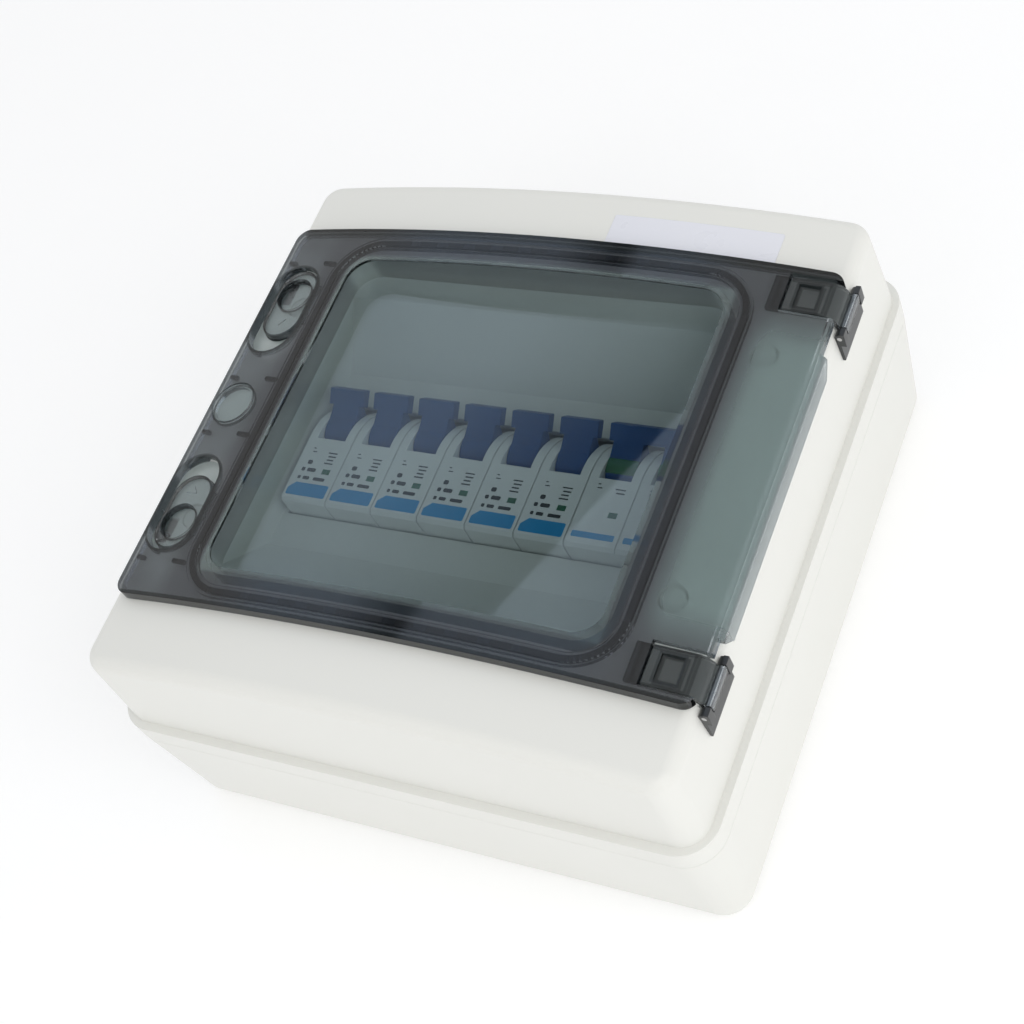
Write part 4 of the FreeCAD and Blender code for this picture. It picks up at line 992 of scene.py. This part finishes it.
# ---------------------------------------------------------------------------- breakers
@dataclass
class BreakerRow:
    """Six single breakers and the main breaker, with their print."""

    singles: int = 6
    pitch: float = 18.0
    face_z: float = 76.0
    stripe_y: float = 17.8
    stripe_width: float = 15.6
    stripe_height: float = 5.1
    main_stripe_y: float = 18.1
    main_stripe_width: float = 14.8
    main_stripe_height: float = 2.2
    sink: float = 0.02

    def middles(self) -> list[float]:
        """Give the middle of each single breaker, in millimetres."""
        start = (self.singles + 2) * self.pitch / 2
        return [start - self.pitch * (index + 0.5) for index in range(self.singles)]

    def main_middles(self) -> list[float]:
        """Give the middle of each pole of the main breaker, in millimetres."""
        start = -(self.singles + 2) * self.pitch / 2
        return [start + self.pitch * 0.5, start + self.pitch * 1.5]

    def build(self) -> None:
        """Make cases, handles, windows and print."""
        enclosure = Body.ENCLOSURE.value
        for number in range(1, self.singles + 1):
            moulded_copy(f"breaker_case_{number}", enclosure, PALETTE.breaker, Edge.CRISP)
            moulded_copy(f"handle_{number}", f"lever_{number}", PALETTE.handle, Edge.SOFT)
        moulded_copy("main_breaker_case", enclosure, PALETTE.breaker, Edge.CRISP)
        moulded_copy("main_handle", Body.MAIN_LEVER.value, PALETTE.handle, Edge.SOFT)
        WARDROBE.dress_node("main_handle_flags", PALETTE.indicator)
        WARDROBE.dress_node("indicator_windows", PALETTE.indicator)
        place_piece("breaker_stripes", self.stripes(), enclosure, PALETTE.stripe)
        place_piece("breaker_print", self.print_marks(), enclosure, PALETTE.ink)

    def stripes(self) -> bmesh.types.BMesh:
        """Make the coloured stripes at the foot of the noses.

        Returns:
            All the stripes as one shape.
        """
        shape = bmesh.new()
        z = self.face_z - self.sink
        for x in self.middles():
            Plate(x, self.stripe_y, z, self.stripe_width, self.stripe_height, corner=0.5,
                  chamfer=2.4).add(shape)
        for x in self.main_middles():
            Plate(x, self.main_stripe_y, z, self.main_stripe_width, self.main_stripe_height,
                  corner=0.4).add(shape)
        return shape

    def print_marks(self) -> bmesh.types.BMesh:
        """Make plain bars and dots where a breaker is printed.

        Returns:
            All the marks as one shape.
        """
        shape = bmesh.new()
        z = self.face_z - self.sink
        bars = ((-2.6, 13.2, 4.6, 1.3), (2.6, 13.2, 2.6, 1.3), (5.4, 13.2, 1.2, 1.3), (1.9, 9.9, 3.4, 1.5),
                (5.2, 9.9, 1.4, 1.5), (3.8, 6.9, 1.9, 1.7), (-3.4, 6.6, 3.4, 0.55), (-3.4, 5.2, 2.7, 0.55),
                (-3.7, 3.8, 3.0, 0.55), (-3.4, 2.4, 3.6, 0.5), (3.9, 2.6, 1.7, 0.4), (4.4, 1.2, 1.0, 0.4))
        for x in self.middles():
            for dx, y, wide, high in bars:
                Plate(x + dx, y, z, wide, high, 0.04, min(wide, high) * 0.3).add(shape)
        for x in self.main_middles():
            for dx, y, wide, high in bars[8:]:
                Plate(x + dx, y - 2.0, z, wide, high, 0.04, min(wide, high) * 0.3).add(shape)
        return shape


# ---------------------------------------------------------------------------- door
@dataclass
class Door:
    """Smoked door, its seal, arms, brackets, pins and latches."""

    sides: tuple[str, str] = ("top", "bottom")
    apex_z: float = 99.4
    arch_r: float = 718.11
    rib_y: tuple[float, ...] = (-62.0, -11.5, 11.5, 62.0)
    rib_x: tuple[tuple[float, float], ...] = ((81.6, 5.0), (98.3, 3.2))
    rib_width: float = 1.5
    rib_height: float = 1.5
    rib_low: float = 0.5
    rib_round: float = 0.3
    tray_x: float = 91.2
    tray_y: float = 40.5
    tray_r: float = 9.45
    tray_straight: float = 9.0
    tray_low: float = 0.32
    tray_high: float = 0.6
    tray_cut: int = 2

    def build(self) -> None:
        """Make the door's pieces and dress what stays."""
        door = Body.DOOR.value
        enclosure = Body.ENCLOSURE.value
        moulded_copy("door_shell", door, PALETTE.smoked, Edge.SOFT, clamp=True)
        WARDROBE.dress_node("door_gasket", PALETTE.seal)
        for side in self.sides:
            moulded_copy(f"hinge_arm_{side}", door, PALETTE.smoked_arm, Edge.CRISP)
            moulded_copy(f"hinge_bracket_{side}", enclosure, PALETTE.clip, Edge.CRISP)
            moulded_copy(f"latch_slider_{side}", f"latch_{side}", PALETTE.smoked_latch, Edge.SOFT)
            WARDROBE.dress_node(f"latch_hook_{side}", PALETTE.clip)
            WARDROBE.dress_node(f"hinge_pin_{side}", PALETTE.zinc)
        place_piece("door_ribs", self.ribs(), door, PALETTE.smoked_rib)
        for side, sign in zip(self.sides, (1, -1)):
            place_piece(f"latch_tray_{side}", self.tray(sign), door, PALETTE.smoked_latch)

    def arch(self, x: float) -> float:
        """Give the height of the cover's arched front at a place across the box, in millimetres."""
        return self.apex_z - self.arch_r + math.sqrt(self.arch_r ** 2 - x * x)

    def ribs(self) -> bmesh.types.BMesh:
        """Make the short ribs under the latch side of the door.

        Returns:
            All the ribs as one shape.
        """
        shape = bmesh.new()
        for y in self.rib_y:
            for x, length in self.rib_x:
                bar = bmesh.ops.create_cube(shape, size=1.0)["verts"]
                bmesh.ops.scale(shape, vec=(length, self.rib_width, self.rib_height), verts=bar)
                z = self.arch(x) + self.rib_low + self.rib_height / 2
                bmesh.ops.translate(shape, vec=(x, y, z), verts=bar)
        bmesh.ops.scale(shape, vec=(MM, MM, MM), verts=shape.verts)
        soften(shape, self.rib_round, 2)
        return shape

    def tray(self, sign: int) -> bmesh.types.BMesh:
        """Make the thin clear tray under one latch slider.

        Args:
            sign: 1 for the +Y latch and -1 for the other.

        Returns:
            The tray.
        """
        shape = bmesh.new()
        bmesh.ops.create_circle(shape, cap_ends=False, segments=48, radius=self.tray_r)
        for vert in shape.verts:
            vert.co.y += self.tray_straight if vert.co.y > 0.001 else -self.tray_straight
        bmesh.ops.contextual_create(shape, geom=list(shape.edges))
        bmesh.ops.translate(shape, vec=(self.tray_x, sign * self.tray_y, 0.0), verts=shape.verts)
        for x in range(int(self.tray_x - self.tray_r), int(self.tray_x + self.tray_r) + 1, self.tray_cut):
            geom = list(shape.verts) + list(shape.edges) + list(shape.faces)
            bmesh.ops.bisect_plane(shape, geom=geom, plane_co=(x, 0, 0), plane_no=(1, 0, 0))
        lifted = bmesh.ops.extrude_face_region(shape, geom=list(shape.faces))
        top = {item for item in lifted["geom"] if isinstance(item, bmesh.types.BMVert)}
        for vert in shape.verts:
            vert.co.z = self.arch(vert.co.x) + (self.tray_high if vert in top else self.tray_low)
        bmesh.ops.recalc_face_normals(shape, faces=shape.faces)
        bmesh.ops.scale(shape, vec=(MM, MM, MM), verts=shape.verts)
        shade(shape)
        return shape


# ---------------------------------------------------------------------------- studio
@dataclass(frozen=True)
class Lamp:
    """A soft rectangular light aimed at the box."""

    name: str
    place: Point
    size: tuple[float, float]
    power: float
    aim: Point = (0.0, 0.0, 0.05)

    def build(self) -> None:
        """Make the light."""
        data = bpy.data.lights.new(self.name, "AREA")
        data.shape = "RECTANGLE"
        data.size, data.size_y = self.size
        data.energy = self.power
        item = bpy.data.objects.new(self.name, data)
        bpy.context.scene.collection.objects.link(item)
        item.location = self.place
        away = Vector(self.place) - Vector(self.aim)
        item.rotation_mode = "QUATERNION"
        item.rotation_quaternion = away.to_track_quat("Z", "Y")
        item.visible_camera = False


@dataclass
class Studio:
    """Floor, soft light and camera."""

    lens: float = 67.0131
    sensor: float = 36.0
    location: Point = (-0.299684, 0.271848, 0.548906)
    right: Point = (-0.873238, -0.356174, -0.332558)
    up: Point = (0.135392, -0.832928, 0.536562)
    back: Point = (-0.468107, 0.423521, 0.775568)
    lamps: tuple[Lamp, ...] = (
        Lamp("key_light", (-1.0, 0.35, 0.75), (0.9, 0.9), 4.0),
        Lamp("fill_light", (0.3, 1.1, 0.8), (0.9, 0.9), 1.2),
    )
    sky: float = 0.79
    far_wall: float = 0.98
    floor_glow: float = 0.14
    panel_edge: Point = (0.7438, -0.3205, -0.5865)
    panel_middle: Point = (0.468, -0.4235, 0.7756)
    panel_colour: Colour = (0.86, 1.0, 1.20)
    panel_dim: float = 0.03
    panel_glow: float = 0.98
    panel_start: float = 0.012
    panel_fade: float = 0.09
    panel_blur: float = 0.0008
    panel_reach: tuple[float, float] = (0.955, 0.975)
    floor_size: float = 4.0
    floor_drop: float = 0.0002

    def build(self) -> None:
        """Make the floor, the lights, the sky and the camera."""
        self.floor()
        for lamp in self.lamps:
            lamp.build()
        self.world()
        self.camera()
        bpy.context.scene.view_settings.view_transform = "Standard"

    def floor(self) -> None:
        """Make the pale floor that the back of the box rests on."""
        shape = bmesh.new()
        bmesh.ops.create_grid(shape, x_segments=8, y_segments=8, size=self.floor_size)
        bmesh.ops.translate(shape, vec=(0, 0, -self.floor_drop), verts=shape.verts)
        mesh = bpy.data.meshes.new("floor")
        shape.to_mesh(mesh)
        shape.free()
        item = bpy.data.objects.new("floor", mesh)
        bpy.context.scene.collection.objects.link(item)
        paper = Film("floor_white", "label_film", (0.93, 0.93, 0.93), 0.9, 0.01).build()
        shader = next(node for node in paper.node_tree.nodes if node.type == "BSDF_PRINCIPLED")
        shader.inputs["Emission Color"].default_value = (1.0, 1.0, 1.0, 1.0)
        shader.inputs["Emission Strength"].default_value = self.floor_glow
        mesh.materials.append(paper)

    def world(self) -> None:
        """Make the soft sky, with one dimmer patch that has a straight edge, and a pale far wall."""
        world = bpy.data.worlds.new("soft_sky")
        bpy.context.scene.world = world
        world.use_nodes = True
        graph = Graph(world.node_tree)
        out = graph.node("ShaderNodeOutputWorld")
        backdrop = graph.node("ShaderNodeBackground")
        graph.join(backdrop.outputs[0], out.inputs["Surface"])
        where = graph.node("ShaderNodeTexCoord")

        def towards(direction: Point) -> Socket:
            """Say how far the sky's direction goes along another.

            Args:
                direction: The other direction.

            Returns:
                The share of it, -1 to 1.
            """
            dot = graph.node("ShaderNodeVectorMath", operation="DOT_PRODUCT")
            graph.join(where.outputs["Generated"], dot.inputs[0])
            dot.inputs[1].default_value = direction
            return dot.outputs["Value"]

        side = towards(self.panel_edge)
        beyond = graph.ramp(side, -self.panel_blur, self.panel_blur)
        fade = graph.ramp(side, self.panel_start, self.panel_fade)
        dim = graph.ramp(fade, 0.0, 1.0, self.panel_dim, self.panel_glow)
        inside = graph.ramp(beyond, 0.0, 1.0, self.panel_glow, dim)
        near = graph.ramp(towards(self.panel_middle), *self.panel_reach)
        lit = graph.ramp(near, 0.0, 1.0, self.sky, inside)
        path = graph.node("ShaderNodeLightPath")
        level = graph.ramp(path.outputs["Is Camera Ray"], 0.0, 1.0, lit, self.far_wall)
        graph.join(graph.blend(near, (1.0, 1.0, 1.0, 1.0), rgba(self.panel_colour)), backdrop.inputs["Color"])
        graph.join(level, backdrop.inputs["Strength"])

    def camera(self) -> None:
        """Make the camera."""
        data = bpy.data.cameras.new("camera")
        data.lens = self.lens
        data.sensor_width = self.sensor
        data.clip_start = 0.01
        item = bpy.data.objects.new("camera", data)
        bpy.context.scene.collection.objects.link(item)
        turned = Matrix((self.right, self.up, self.back)).transposed()
        item.matrix_world = Matrix.Translation(self.location) @ turned.to_4x4()
        bpy.context.scene.camera = item


# ---------------------------------------------------------------------------- all of it
def main() -> None:
    """Build the studio, then every sub-assembly in order."""
    logging.basicConfig(level=logging.INFO, format="%(name)s: %(message)s")
    Studio().build()
    for assembly in (Housing(), Wiring(), BreakerRow(), Door()):
        assembly.build()
        log.info("%s is done", type(assembly).__name__)


if __name__ == "__main__":
    main()
